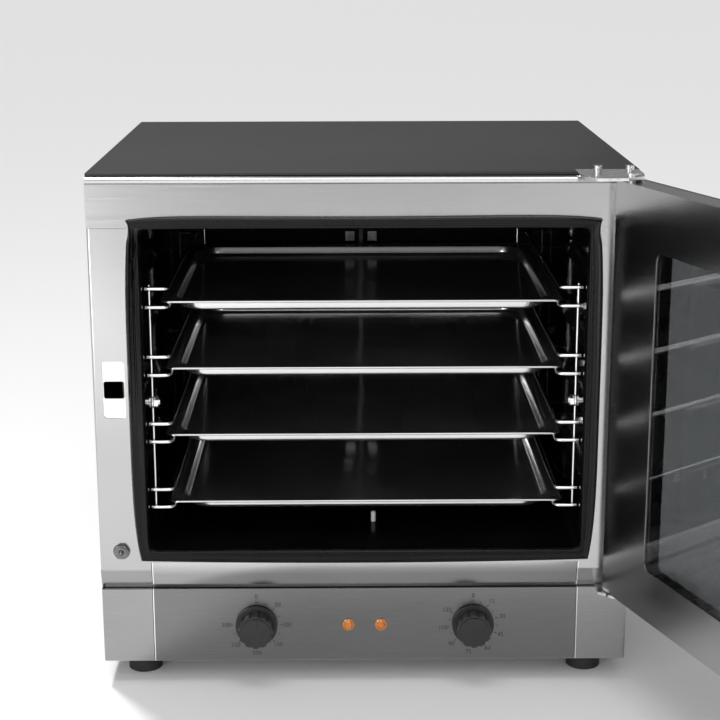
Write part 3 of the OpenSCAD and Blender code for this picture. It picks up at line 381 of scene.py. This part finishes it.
def grow_point(shell, point, across):
    """Draws one more stretch of the sheet's outline from its last point."""
    made = bmesh.ops.extrude_vert_indiv(shell, verts=[point])["verts"]
    bmesh.ops.translate(shell, verts=made, vec=across)
    return made[0]


def rolled_apron():
    """Rolls the outline back from the mouth, folds its foot under and draws it across the oven."""
    shell = bmesh.new()
    point = shell.verts.new((-APRON_HALF, FRONT_Y, APRON_TOP))
    point = grow_point(shell, point, (0, 0, -APRON_STRAIGHT))
    centre = (-APRON_HALF, FRONT_Y + APRON_ROLL_R, point.co.z)
    rolled = bmesh.ops.spin(
        shell,
        geom=[point],
        cent=centre,
        axis=(1, 0, 0),
        angle=APRON_SWEEP,
        steps=APRON_STEPS,
        use_merge=False,
    )
    point = only(bmesh.types.BMVert, rolled["geom_last"])[0]
    down = point.co.z - APRON_FOOT
    point = grow_point(shell, point, (0, down * sin(APRON_SWEEP) / cos(APRON_SWEEP), -down))
    grow_point(shell, point, (0, APRON_RETURN, 0))
    drawn = bmesh.ops.extrude_edge_only(shell, edges=shell.edges[:])["geom"]
    bmesh.ops.translate(shell, verts=only(bmesh.types.BMVert, drawn), vec=(2 * APRON_HALF, 0, 0))
    give_wall(shell, SHEET_T)
    round_edges(shell, APRON_EDGE)
    return shell


def rail_ends():
    """Plates that close the open ends of the top rail, round at the rolled edge."""
    lo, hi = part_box("front_top_rail")
    front, back = lo.y + RAIL_END_IN, hi.y - RAIL_END_BACK
    low, high = lo.z + RAIL_END_IN, hi.z - RAIL_END_IN
    profile = [(back, low), (back, high)]
    for k in range(RAIL_END_STEPS + 1):
        angle = pi / 2 * k / RAIL_END_STEPS
        y = front + RAIL_END_R * (1 - sin(angle))
        profile.append((y, high - RAIL_END_R * (1 - cos(angle))))
    profile.append((front, low))
    shell = bmesh.new()
    for sign in (-1, 1):
        outer = sign * (hi.x - RAIL_END_SET)
        inner = outer - sign * RAIL_END_T
        near = [shell.verts.new((outer, y, z)) for y, z in profile]
        far = [shell.verts.new((inner, y, z)) for y, z in profile]
        shell.faces.new(near)
        shell.faces.new(far)
        for k in range(len(profile)):
            after = (k + 1) % len(profile)
            shell.faces.new((near[k], near[after], far[after], far[k]))
    bmesh.ops.recalc_face_normals(shell, faces=shell.faces)
    return shell


def lean_hems():
    """A narrow hem under the leaning foot of each stile."""
    shell = bmesh.new()
    for node, sign in (("left_stile", -1), ("right_stile", 1)):
        lo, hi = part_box(node)
        inner = APRON_HALF + LEAN_GAP
        outer = (hi.x if sign > 0 else -lo.x) - LEAN_SHORT
        level = lo.z - LEAN_FOOT / 2
        made = bmesh.ops.create_cube(shell, size=1.0)["verts"]
        bmesh.ops.scale(shell, verts=made, vec=(outer - inner, SHEET_T, LEAN_FOOT))
        middle = (sign * (inner + outer) / 2, FRONT_Y + LEAN_BEHIND + SHEET_T / 2, level)
        bmesh.ops.translate(shell, verts=made, vec=middle)
        low = [v for v in made if v.co.z < level]
        bmesh.ops.translate(shell, verts=low, vec=(0, LEAN_FOOT * LEAN_SLOPE, 0))
    return shell


def mouth_trim():
    """A flat frame of thin sheet whose inner edge lies under the gasket."""
    shell = bmesh.new()
    bmesh.ops.create_grid(shell, x_segments=3, y_segments=3, size=0.5)
    mouth = [f for f in shell.faces if f.calc_center_median().length < 1 / 6]
    bmesh.ops.delete(shell, geom=mouth, context="FACES")
    for v in shell.verts:
        column, row = round(3 * (v.co.x + 0.5)), round(3 * (v.co.y + 0.5))
        v.co = (TRIM_COLUMNS[column], FRONT_Y, TRIM_ROWS[row])
    bmesh.ops.recalc_face_normals(shell, faces=shell.faces)
    drawn = bmesh.ops.extrude_face_region(shell, geom=shell.faces[:])["geom"]
    bmesh.ops.translate(shell, verts=only(bmesh.types.BMVert, drawn), vec=(0, -TRIM_T, 0))
    bmesh.ops.recalc_face_normals(shell, faces=shell.faces)
    return shell


# The fascia and its end caps are darker copies of the front steel, in painted shade.
shaded_fascia_steel = satin_steel("satin_fascia_sheet_painted_shade", "X", tone=0.2, rough=0.24)
shaded_cap_steel = satin_steel("satin_cap_sheet_painted_shade", "X", tone=0.33, rough=0.24)
# Painted highlights line the cut edges of the fascia and the end caps at the seams.
painted_edge_highlight(shaded_fascia_steel, SEAM_LEFT)
painted_edge_highlight(shaded_cap_steel, SEAM_RIGHT)
dress(shaded_fascia_steel, "control_fascia")
dress(shaded_cap_steel, "fascia_end_caps")
add_piece("rail_ends", rail_ends(), side_steel, "oven")
add_piece("lean_hems", lean_hems(), front_steel, "oven")
add_piece("mouth_trim", mouth_trim(), front_steel, "oven")
# The apron is a lighter copy of the front steel as painted light, and its colour darkens toward its
# foot in painted shade.
lit_and_shaded_apron_steel = satin_steel("satin_apron_sheet_painted_light_and_shade", "X", tone=0.56)
painted_shade_toward_foot(lit_and_shaded_apron_steel, *APRON_SHADE_FADE, APRON_FOOT_SHADE)
# A painted highlight lines the apron's cut edge at the left seam.
painted_edge_highlight(lit_and_shaded_apron_steel, SEAM_LEFT)
apron = add_piece("rolled_apron", rolled_apron(), lit_and_shaded_apron_steel, "oven")
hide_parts("lower_apron")


# Top panel: one flat sheet in dark grey enamel with a soft sheen, dropped in behind the rolled edge.
# It is folded down at its sides, hemmed in front and notched round the hinge plate.
PANEL_FRONT = -0.2435
PANEL_HEM = 0.0026
PANEL_T = 0.0012
PANEL_LIP = 0.010
PANEL_EDGE = 0.0002
NOTCH_X = 0.2217
NOTCH_Y = -0.2227
CLOSE = 1e-6


def open_edges(shell, holds):
    """The open edges of a sheet whose two ends both pass a test."""
    return [e for e in shell.edges if e.is_boundary and all(holds(v.co) for v in e.verts)]


def fold_down(shell, edges, depth):
    """Turns the edges of a sheet down."""
    made = bmesh.ops.extrude_edge_only(shell, edges=edges)["geom"]
    bmesh.ops.translate(shell, verts=only(bmesh.types.BMVert, made), vec=(0, 0, -depth))


def top_sheet():
    """Lays the notched sheet out flat, then folds its hem and lips down and gives it its wall."""
    lo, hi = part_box("top_panel")
    shell = bmesh.new()
    bmesh.ops.create_grid(shell, x_segments=2, y_segments=2, size=0.5)
    columns, rows = (lo.x, NOTCH_X, hi.x), (PANEL_FRONT, NOTCH_Y, hi.y)
    for v in shell.verts:
        v.co = (columns[round(2 * (v.co.x + 0.5))], rows[round(2 * (v.co.y + 0.5))], hi.z)
    centres = {face: face.calc_center_median() for face in shell.faces}
    corner = [face for face, mid in centres.items() if mid.x > NOTCH_X and mid.y < NOTCH_Y]
    bmesh.ops.delete(shell, geom=corner, context="FACES")
    fold_down(shell, open_edges(shell, lambda p: abs(p.y - PANEL_FRONT) < CLOSE), PANEL_HEM)
    for side in (lo.x, hi.x):
        lip = open_edges(shell, lambda p: abs(p.x - side) < CLOSE and p.y > NOTCH_Y - CLOSE)
        fold_down(shell, lip, PANEL_LIP)
    give_wall(shell, PANEL_T)
    round_edges(shell, PANEL_EDGE)
    return shell


def top_enamel():
    paint, shader, place = finish_start("dark_grey_enamel", 0.5, specular=0.2)
    cloud = noise(paint, place, (6.0, 6.0, 6.0), 5.0)
    two_tones(paint, cloud, grey(0.027), grey(0.031), shader.inputs["Base Color"])
    peel = noise(paint, place, (700.0, 700.0, 700.0), 2.0)
    spread_value(paint, peel, 0.46, 0.54, shader.inputs["Roughness"])
    relief(paint, shader, peel, 0.1, 0.0001)
    return paint


enamel_sheet = add_piece("enamel_top_sheet", top_sheet(), top_enamel(), "oven")
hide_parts("top_panel")


# Feet: moulded rubber pads on threaded studs, with a matt and slightly dusty skin.
# They screw up through the base pan.
def foot_rubber():
    paint, shader, place = finish_start("foot_rubber_black", 0.75, specular=0.25)
    dust = noise(paint, place, (60.0, 60.0, 90.0), 5.0)
    two_tones(paint, dust, grey(0.018), grey(0.034), shader.inputs["Base Color"])
    relief(paint, shader, noise(paint, place, (1200.0, 1200.0, 1200.0), 2.0), 0.2, 0.0001)
    return paint


dress(foot_rubber(), "feet")


# Cavity: folded sheet walls in glossy black enamel, with the flat ring at the mouth.
# The fired enamel has a faint orange peel and mirrors the racks at a low angle.
def oven_enamel(name, rough, specular, peel):
    paint, shader, place = finish_start(name, rough, specular=specular)
    cloud = noise(paint, place, (14.0, 14.0, 14.0), 4.0)
    two_tones(paint, cloud, grey(0.002), grey(0.004), shader.inputs["Base Color"])
    spread_value(paint, cloud, rough * 0.8, rough * 1.2, shader.inputs["Roughness"])
    relief(paint, shader, noise(paint, place, (190.0, 190.0, 190.0), 2.0), peel, 0.0004)
    return paint


wall_enamel = oven_enamel("glossy_wall_enamel", rough=0.05, specular=0.3, peel=0.03)
dull_enamel = oven_enamel("black_oven_enamel", rough=0.2, specular=0.04, peel=0.08)
dress(wall_enamel, "cavity_left_wall", "cavity_right_wall")
dress(dull_enamel, "cavity_front_flange", "cavity_ceiling", "cavity_floor", "cavity_rear_wall")


# Insulation: a needled wrap and a rear blanket, yellowish wool between liner and casing.
# Only the open louvres and slots give a glimpse of it.
def wool():
    paint, shader, place = finish_start("needled_wool", 0.95, specular=0.1)
    fibre = noise(paint, place, (500.0, 90.0, 500.0), 6.0)
    two_tones(paint, fibre, (0.36, 0.3, 0.16), (0.62, 0.55, 0.36), shader.inputs["Base Color"])
    relief(paint, shader, fibre, 0.7, 0.002)
    return paint


dress(wool(), "insulation_wrap", "insulation_rear")


# Door gasket: a soft silicone band pressed onto the ring of the mouth, mitred at the corners.
# It is squeezed into long folds beside its upper left corner, and its outer edge carries a thin lip.
MOUTH_HALF = 0.235
MOUTH_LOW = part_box("cavity_floor")[1].z
MOUTH_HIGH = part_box("cavity_ceiling")[0].z
FACE_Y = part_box("door_gasket")[1].y
BAND_H = 0.009
SIDE_BOW = 0.0072
SIDE_FLATNESS = 5
EAR = 0.004
BLUNT = 0.0004
NECK_IN = 0.0014
BAND_IN_HALF = MOUTH_HALF - 0.0005
BAND_OUT_HALF = MOUTH_HALF + 0.0098
BAND_IN_LOW = MOUTH_LOW + 0.002
BAND_IN_HIGH = MOUTH_HIGH - 0.002
BAND_OUT_LOW = MOUTH_LOW - 0.0117
BAND_OUT_HIGH = MOUTH_HIGH + 0.007
EAR_RUN = 0.010
NECK_AT = 0.0105
NECK_RUN = 0.010
CORNER_IN = 0.0018
CORNER_RUN = 0.006
TOP_RISE = 0.0044
TOP_FLATNESS = 8
TOP_SAG = 0.0016
BOTTOM_SAG = 0.0034
INNER_SHOULDER = 0.16
OUTER_SHOULDER = 0.8
INNER_FOOT = 0.6
OUTER_FOOT = 0.3
HOLLOW = 0.1
LIP_H = 0.0022
LIP_AT = 0.94
LIP_RUN = 0.03
LIP_START = 14
PLAIN_FOLD = 0.0002
RIGHT_FOLD = 0.00035
LEFT_FOLD = 0.0030
LEFT_FOLD_FROM = 0.38
LEFT_FOLD_POWER = 0.8
LEFT_FOLD_END = 18
FOLDS_ACROSS = 4.5
STATIONS_PER_SIDE = 90
ACROSS = 34
UNDER = 6
BAND_CREASE = radians(70)


def bow(t, power):
    """Rises from 0 at both ends of a side to 1 at its middle, the flatter the higher the power."""
    return 1 - abs(2 * t - 1) ** power


def ear_reach(t, length):
    """Fades from 1 at a corner, along a side of the given length."""
    return exp(-length * t / EAR_RUN)


def neck_reach(t, length):
    """Rises to 1 just past a corner and falls again."""
    return exp(-(((length * t - NECK_AT) / NECK_RUN) ** 4))


def inner_round(t, length):
    """How far the inner edge draws back to round its corner."""
    return CORNER_IN * max(0.0, 1 - length * t / CORNER_RUN) ** 2


def band_edges(side, t):
    """Inner and outer edge of the band at place t of a side, as (width, height) pairs."""
    wide = 2 * BAND_IN_HALF
    tall = BAND_IN_HIGH - BAND_IN_LOW
    across = (BAND_IN_HALF - CORNER_IN) * (2 * t - 1)
    if side == "top":
        drop = inner_round(t, wide) + inner_round(1 - t, wide)
        high = BAND_OUT_HIGH + TOP_RISE * bow(t, TOP_FLATNESS) - TOP_SAG * bow(t, 2) ** 2
        return (across, BAND_IN_HIGH - drop), ((BAND_OUT_HALF + EAR) * (2 * t - 1), high)
    if side == "bottom":
        rise = inner_round(t, wide) + inner_round(1 - t, wide)
        low = BAND_OUT_LOW - BOTTOM_SAG * bow(t, 2)
        return (-across, BAND_IN_LOW + rise), ((BAND_OUT_HALF - BLUNT) * (1 - 2 * t), low)
    down = t if side == "right" else 1 - t
    out_tall = BAND_OUT_HIGH - BAND_OUT_LOW
    pull = inner_round(down, tall) + inner_round(1 - down, tall)
    reach = SIDE_BOW * bow(down, SIDE_FLATNESS) + EAR * ear_reach(down, out_tall)
    reach -= BLUNT * ear_reach(1 - down, out_tall) + NECK_IN * neck_reach(down, out_tall)
    sign = 1 if side == "right" else -1
    inner = (sign * (BAND_IN_HALF - pull), BAND_IN_HIGH - CORNER_IN - (tall - 2 * CORNER_IN) * down)
    return inner, (sign * (BAND_OUT_HALF + reach), BAND_OUT_HIGH - out_tall * down)


def band_height(s):
    """Share of the band's height at place s across it, from 0 at its inner edge to 1 at its outer."""
    if s < INNER_SHOULDER:
        return INNER_FOOT + (1 - INNER_FOOT) * sin(pi / 2 * s / INNER_SHOULDER)
    if s < OUTER_SHOULDER:
        return 1 - HOLLOW * sin(pi * (s - INNER_SHOULDER) / (OUTER_SHOULDER - INNER_SHOULDER))
    fall = pi / 2 * (s - OUTER_SHOULDER) / (1 - OUTER_SHOULDER)
    return OUTER_FOOT + (1 - OUTER_FOOT) * max(0.0, cos(fall))


def band_lip(side, t, s):
    """A thin lip along the outer edge, above the mouth and on the right."""
    if side not in ("top", "right"):
        return 0.0
    grown = min(1.0, LIP_START * t) if side == "top" else 1.0
    return LIP_H * grown * exp(-(((s - LIP_AT) / LIP_RUN) ** 2))


def band_folds(side, t, s):
    """Depth of the long folds in the band."""
    depth = RIGHT_FOLD if side == "right" else PLAIN_FOLD
    if side == "left":
        near_top = max(0.0, (t - LEFT_FOLD_FROM) / (1 - LEFT_FOLD_FROM))
        depth += LEFT_FOLD * near_top ** LEFT_FOLD_POWER * min(1.0, (1 - t) * LEFT_FOLD_END)
    waver = 0.5 * sin(9 * t) + 0.3 * sin(23 * t + 1)
    return depth * (0.5 + 0.5 * cos(2 * pi * FOLDS_ACROSS * s + waver)) * sin(pi * s)


def gasket_band():
    """Bends a flat grid round the mouth and closes it on itself both ways."""
    sides = ["top", "right", "bottom", "left"]
    count = 4 * STATIONS_PER_SIDE
    shell = bmesh.new()
    bmesh.ops.create_grid(shell, x_segments=count, y_segments=ACROSS + UNDER, size=0.5)
    for v in shell.verts:
        station = round((v.co.x + 0.5) * count) % count
        row = round((v.co.y + 0.5) * (ACROSS + UNDER))
        side = sides[station // STATIONS_PER_SIDE]
        place = (station % STATIONS_PER_SIDE) / STATIONS_PER_SIDE
        t = 0.5 - 0.5 * cos(pi * place)
        inner, outer = band_edges(side, t)
        if row <= ACROSS:
            s = row / ACROSS
            out = BAND_H * band_height(s) - band_folds(side, t, s) + band_lip(side, t, s)
        else:
            s = 1 - (row - ACROSS) / UNDER
            out = 0.0
        v.co = (
            inner[0] + (outer[0] - inner[0]) * s,
            FACE_Y - max(0.0, out),
            inner[1] + (outer[1] - inner[1]) * s,
        )
    bmesh.ops.remove_doubles(shell, verts=shell.verts, dist=1e-6)
    bmesh.ops.recalc_face_normals(shell, faces=shell.faces)
    return shell


def silicone():
    paint, shader, place = finish_start("black_silicone", 0.27, specular=0.2)
    bloom = noise(paint, place, (40.0, 40.0, 40.0), 5.0)
    two_tones(paint, bloom, grey(0.002), grey(0.003), shader.inputs["Base Color"])
    spread_value(paint, bloom, 0.22, 0.34, shader.inputs["Roughness"])
    relief(paint, shader, noise(paint, place, (900.0, 900.0, 900.0), 2.0), 0.12, 0.0001)
    return paint


band = add_piece("gasket_band", gasket_band(), silicone(), "oven", BAND_CREASE)
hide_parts("door_gasket")


# Racks: bright wire posts and runners, hung on studs with collars and hexagon nuts.
# Chromed wire and zinc studs darken toward the fans in painted shade; the stud on the floor is white.
BACK_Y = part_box("left_rack")[1].y
SHADED_TO = 0.6
BRIGHT_FROM = 0.95


def painted_shade_toward_fans(paint, shader, bright):
    """Fades the bright tone at the mouth of the oven to a dark one at its back, as painted shade."""
    rise = axis_rise(paint, "Y", BACK_Y, FACE_Y, 0.0, 1.0)
    base = shader.inputs["Base Color"]
    two_tones(paint, rise, grey(0.02), grey(bright), base, SHADED_TO, BRIGHT_FROM)


def bright_wire():
    paint, shader, place = finish_start("bright_chrome_wire", 0.09, metallic=1.0)
    drawn = noise(paint, place, (220.0, 220.0, 220.0), 3.0)
    spread_value(paint, drawn, 0.06, 0.13, shader.inputs["Roughness"])
    painted_shade_toward_fans(paint, shader, 0.86)
    return paint


def stud_zinc():
    paint, shader, place = finish_start("stud_zinc_painted_shade", 0.25, metallic=1.0)
    flow = noise(paint, place, (160.0, 160.0, 160.0), 4.0)
    spread_value(paint, flow, 0.2, 0.3, shader.inputs["Roughness"])
    painted_shade_toward_fans(paint, shader, 0.8)
    return paint


def white_zinc():
    paint, shader, place = finish_start("white_plated_zinc", 0.45, metallic=0.3)
    flow = noise(paint, place, (160.0, 160.0, 160.0), 4.0)
    two_tones(paint, flow, grey(0.85), grey(0.95), shader.inputs["Base Color"])
    return paint


def bright_zinc():
    paint, shader, place = finish_start("bright_zinc", 0.22, metallic=1.0)
    flow = noise(paint, place, (160.0, 160.0, 160.0), 4.0)
    two_tones(paint, flow, grey(0.66), grey(0.78), shader.inputs["Base Color"])
    spread_value(paint, flow, 0.17, 0.28, shader.inputs["Roughness"])
    relief(paint, shader, noise(paint, place, (900.0, 900.0, 900.0), 2.0), 0.05, 0.0001)
    return paint


zinc = bright_zinc()
dress(bright_wire(), "left_rack", "right_rack")
dress(stud_zinc(), "rack_studs", "rack_nuts")
dress(white_zinc(), "floor_stud")


# Baffle: two folded black sheets before the fans, joined on a bare steel strip with stand-offs.
# The strip's tabs carry cross-head screws, and the outer folds show a bare bright edge.
HEM = 0.001
HEM_EDGE = 0.0003


def smoked_steel(name, low, high, rough):
    paint, shader, place = finish_start(name, rough, metallic=1.0)
    film = noise(paint, place, (80.0, 80.0, 80.0), 4.0)
    two_tones(paint, film, grey(low), grey(high), shader.inputs["Base Color"])
    relief(paint, shader, film, 0.1, 0.0002)
    return paint


dress(dull_enamel, "left_baffle", "right_baffle")
dress(smoked_steel("smoked_strip_steel", low=0.03, high=0.09, rough=0.35), "baffle_bracket")
dress(smoked_steel("smoked_screw_steel", low=0.16, high=0.3, rough=0.25), "baffle_screws")


def baffle_hems():
    """A bare edge one sheet thick along the outer fold of each half."""
    shell = bmesh.new()
    for node, side in (("left_baffle", 0), ("right_baffle", 1)):
        lo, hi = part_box(node)
        edge_x = hi.x if side else lo.x
        made = bmesh.ops.create_cube(shell, size=1.0)["verts"]
        bmesh.ops.scale(shell, verts=made, vec=(HEM, HEM, hi.z - lo.z))
        middle = (edge_x + (HEM / 2 if side else -HEM / 2), lo.y + HEM / 2, (lo.z + hi.z) / 2)
        bmesh.ops.translate(shell, verts=made, vec=middle)
    round_edges(shell, HEM_EDGE)
    return shell


add_piece("baffle_hems", baffle_hems(), zinc, "oven")


# Behind the baffle: fan wheels, ring heaters, motors, temperature probe and the vent pipe.
# The sheaths are dulled by heat, and the motors have black painted shells.
def heated_sheath():
    paint, shader, place = finish_start("heat_dulled_sheath", 0.5, metallic=0.8)
    scale = noise(paint, place, (90.0, 90.0, 90.0), 4.0)
    two_tones(paint, scale, (0.015, 0.014, 0.012), (0.03, 0.027, 0.024), shader.inputs["Base Color"])
    relief(paint, shader, scale, 0.15, 0.0002)
    return paint


def motor_paint():
    paint, shader, place = finish_start("black_motor_paint", 0.45, specular=0.4)
    speck = noise(paint, place, (300.0, 300.0, 300.0), 3.0)
    two_tones(paint, speck, grey(0.01), grey(0.018), shader.inputs["Base Color"])
    relief(paint, shader, speck, 0.15, 0.0002)
    return paint


dress(smoked_steel("smoked_fan_sheet", low=0.02, high=0.04, rough=0.5), "left_fan", "right_fan")
dress(heated_sheath(), "left_heater", "right_heater")
dress(motor_paint(), "left_motor", "right_motor")
dress(zinc, "temperature_probe", "vent_pipe")


# Hinges: thick bright plates that reach out of the casing, with pins and socket screws.
# The striker and the sprung door switch sit in the left stile.
dress(zinc, "hinge_plates", "hinge_pins", "hinge_screws", "striker_plate")
dulled_zinc = smoked_steel("dulled_zinc", low=0.12, high=0.2, rough=0.3)
dress(dulled_zinc, "door_switch", "switch_plunger")


# Controls: fluted knobs for the timer and the thermostat, each before a printed scale.
# The knobs are fine-grained black plastic, and the scales are dark ink on the fascia.
KNOB_Z = 0.068
KNOB_X = 0.120
INK_T = 0.00012
TICK_IN = 0.0255
TICK_L = 0.0032
TICK_W = 0.0007
SHORT_TICK = 0.6
FIGURE_R = 0.0335
FIGURE_SIZE = 0.00702


def grained_plastic():
    paint, shader, place = finish_start("grained_black_plastic", 0.42, specular=0.45)
    cloud = noise(paint, place, (120.0, 120.0, 120.0), 4.0)
    two_tones(paint, cloud, grey(0.012), grey(0.02), shader.inputs["Base Color"])
    relief(paint, shader, noise(paint, place, (1800.0, 1800.0, 1800.0), 2.0), 0.25, 0.0001)
    return paint


dress(grained_plastic(), "timer_knob", "thermostat_knob", "cable_gland")
dress(zinc, "timer_body", "thermostat_body")


def dial_scale(shell, middle_x, figures, sweep):
    """Ticks and plain figures clockwise round a knob, from its top position."""
    face_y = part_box("control_fascia")[0].y
    steps = 2 * (len(figures) - 1)
    for k in range(steps + 1):
        angle = sweep * k / steps
        length = TICK_L if k % 2 == 0 else TICK_L * SHORT_TICK
        made = bmesh.ops.create_cube(shell, size=1.0)["verts"]
        bmesh.ops.scale(shell, verts=made, vec=(TICK_W, INK_T, length))
        bmesh.ops.translate(shell, verts=made, vec=(0, 0, TICK_IN + length / 2))
        bmesh.ops.rotate(shell, verts=made, cent=(0, 0, 0), matrix=Matrix.Rotation(angle, 3, "Y"))
        bmesh.ops.translate(shell, verts=made, vec=(middle_x, face_y - INK_T / 2, KNOB_Z))
    for k, figure in enumerate(figures):
        angle = sweep * k / (len(figures) - 1)
        words = bpy.data.curves.new("figure", "FONT")
        words.body = figure
        words.size = FIGURE_SIZE
        words.align_x = "CENTER"
        words.align_y = "CENTER"
        words.extrude = INK_T / 2
        holder = bpy.data.objects.new("figure", words)
        flat = bpy.data.meshes.new_from_object(holder)
        across, up = FIGURE_R * sin(angle), FIGURE_R * cos(angle)
        place = Vector((middle_x + across, face_y - INK_T / 2, KNOB_Z + up))
        flat.transform(Matrix.Translation(place) @ Matrix.Rotation(pi / 2, 4, "X"))
        shell.from_mesh(flat)
        bpy.data.objects.remove(holder)
        bpy.data.curves.remove(words)
        bpy.data.meshes.remove(flat)


def scale_ink():
    paint, shader, place = finish_start("dark_scale_ink", 0.55, specular=0.3)
    speck = noise(paint, place, (900.0, 900.0, 900.0), 3.0)
    two_tones(paint, speck, grey(0.02), grey(0.04), shader.inputs["Base Color"])
    return paint


scales = bmesh.new()
minutes = [str(15 * k) for k in range(9)]
degrees = [str(50 * k) for k in range(7)]
dial_scale(scales, KNOB_X, minutes, sweep=radians(300))
dial_scale(scales, -KNOB_X, degrees, sweep=radians(270))
add_piece("dial_scales", scales, scale_ink(), "oven")


def lamp_lens():
    paint, shader, place = finish_start("amber_lens", 0.12, specular=0.5)
    cloud = noise(paint, place, (400.0, 400.0, 400.0), 2.0)
    two_tones(paint, cloud, (0.75, 0.2, 0.02), (0.9, 0.3, 0.04), shader.inputs["Base Color"])
    shader.inputs["Transmission Weight"].default_value = 0.35
    shader.inputs["Coat Weight"].default_value = 0.5
    return paint


dress(lamp_lens(), "pilot_lamps")


# Door: a folded steel pan with a window of two panes on a rubber spacer ring.
# The outer pane is dark tinted glass, the inner one clear; the lever turns the latch cam.
def pane(name, tint, rough):
    paint, shader, place = finish_start(name, rough)
    shader.inputs["Transmission Weight"].default_value = 1.0
    shader.inputs["IOR"].default_value = 1.5
    cloud = noise(paint, place, (3.0, 3.0, 3.0), 2.0)
    two_tones(paint, cloud, tint, tuple(1.04 * c for c in tint), shader.inputs["Base Color"])
    return paint


dress(satin_steel("satin_door_pan", "Y", wave=0.06), "door_frame")
dress(pane("clear_inner_pane", (0.9, 0.92, 0.91), 0.02), "inner_glass")
dress(pane("smoked_outer_pane", (0.12, 0.125, 0.13), 0.02), "outer_glass")
dress(silicone(), "glass_spacers")
dress(satin_steel("satin_lever", "Z", tone=0.55, rough=0.24), "door_handle")
dress(zinc, "latch_cam")


# Trays: shallow polished steel pans with a rolled rim round a flat flange.
# They are drawn from one sheet, so every bend is round, and they lie loose on the runners.
TRAY_W = 0.436
TRAY_D = 0.342
TRAY_H = 0.0130
FLANGE = 0.014
RIM = 0.0022
SHEET = 0.0009
PAN_BEND = 0.0035
PAN_BEND_STEPS = 6
PAN_CORNER = 0.028
PAN_CORNER_DRAFT = 0.7
SIDE_DRAFT = 0.42
CORNER_STEPS = 10
PAN_MOUTH = [
    (FLANGE, -0.0010, PAN_CORNER),
    (FLANGE - 0.0003, -0.0003, PAN_CORNER + 0.0003),
    (FLANGE - 0.0012, 0.0, PAN_CORNER + 0.0008),
]
RIM_CURL = [
    (0.0022, 0.0, 0.0100),
    (0.0016, 0.0003, 0.0101),
    (0.0011, 0.0010, 0.0101),
    (0.0008, 0.0012, 0.0101),
    (0.0004, 0.0011, 0.0101),
    (0.0001, 0.0006, 0.0101),
    (0.0, -0.0001, 0.0101),
    (0.0002, -0.0008, 0.0100),
]


def tray_rings():
    """The rings of a tray from its floor to its rim, as (inset, height, corner radius)."""
    low = RIM - TRAY_H + PAN_BEND
    rings = []
    for k in range(PAN_BEND_STEPS + 1):
        angle = pi / 2 * k / PAN_BEND_STEPS
        bend = PAN_BEND * (1 - sin(angle))
        radius = PAN_CORNER - PAN_CORNER_DRAFT * bend
        rings.append((FLANGE + bend, low - PAN_BEND * cos(angle), radius))
    return rings + PAN_MOUTH + RIM_CURL


def rounded_place(k, count, width, depth, radius):
    """The k-th of count points round a rectangle with round corners."""
    per = count // 4
    corner, step = divmod(k, per)
    angle = pi / 2 * (corner + step / (per - 1))
    sx = (1, -1, -1, 1)[corner]
    sy = (1, 1, -1, -1)[corner]
    x = sx * (width / 2 - radius) + radius * cos(angle)
    y = sy * (depth / 2 - radius) + radius * sin(angle)
    return x, y


def tray_shell(node):
    """Draws a floor outline out ring by ring into the tray's section."""
    count = 4 * CORNER_STEPS
    lo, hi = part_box(node)
    middle = Vector(((lo.x + hi.x) / 2, lo.y + TRAY_D / 2, 0))
    level = hi.z - RIM
    shell = bmesh.new()
    place = shell.verts.layers.int.new("place")
    made = bmesh.ops.create_circle(shell, cap_ends=True, segments=count, radius=1.0)["verts"]
    for k, v in enumerate(made):
        v[place] = k
    rim_edges = shell.edges[:]
    rim_verts = made
    for number, (inset, height, radius) in enumerate(tray_rings()):
        if number:
            grown = bmesh.ops.extrude_edge_only(shell, edges=rim_edges)["geom"]
            rim_edges = [e for e in only(bmesh.types.BMEdge, grown) if e.is_boundary]
            rim_verts = only(bmesh.types.BMVert, grown)
        for v in rim_verts:
            side = inset + SIDE_DRAFT * max(0.0, -height)
            x, y = rounded_place(v[place], count, TRAY_W - 2 * side, TRAY_D - 2 * inset, radius)
            v.co = (middle.x + x, middle.y + y, level + height)
    bmesh.ops.recalc_face_normals(shell, faces=shell.faces)
    return shell


def tray_steel():
    paint, shader, place = finish_start("polished_tray_steel", 0.15, metallic=0.96)
    rolled = noise(paint, place, (900.0, 5.0, 900.0), 2.0)
    smudge = noise(paint, place, (9.0, 9.0, 9.0), 4.0)
    two_tones(paint, smudge, grey(0.62), grey(0.7), shader.inputs["Base Color"])
    spread_value(paint, smudge, 0.12, 0.2, shader.inputs["Roughness"])
    relief(paint, shader, rolled, 0.03, 0.0001)
    return paint


polished = tray_steel()
for number in range(1, 5):
    node = f"tray_{number}"
    tray = add_piece(f"drawn_tray_{number}", tray_shell(node), polished, f"{node}_body")
    wall = tray.modifiers.new("sheet", "SOLIDIFY")
    wall.thickness = SHEET
    wall.offset = -1.0
    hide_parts(node)
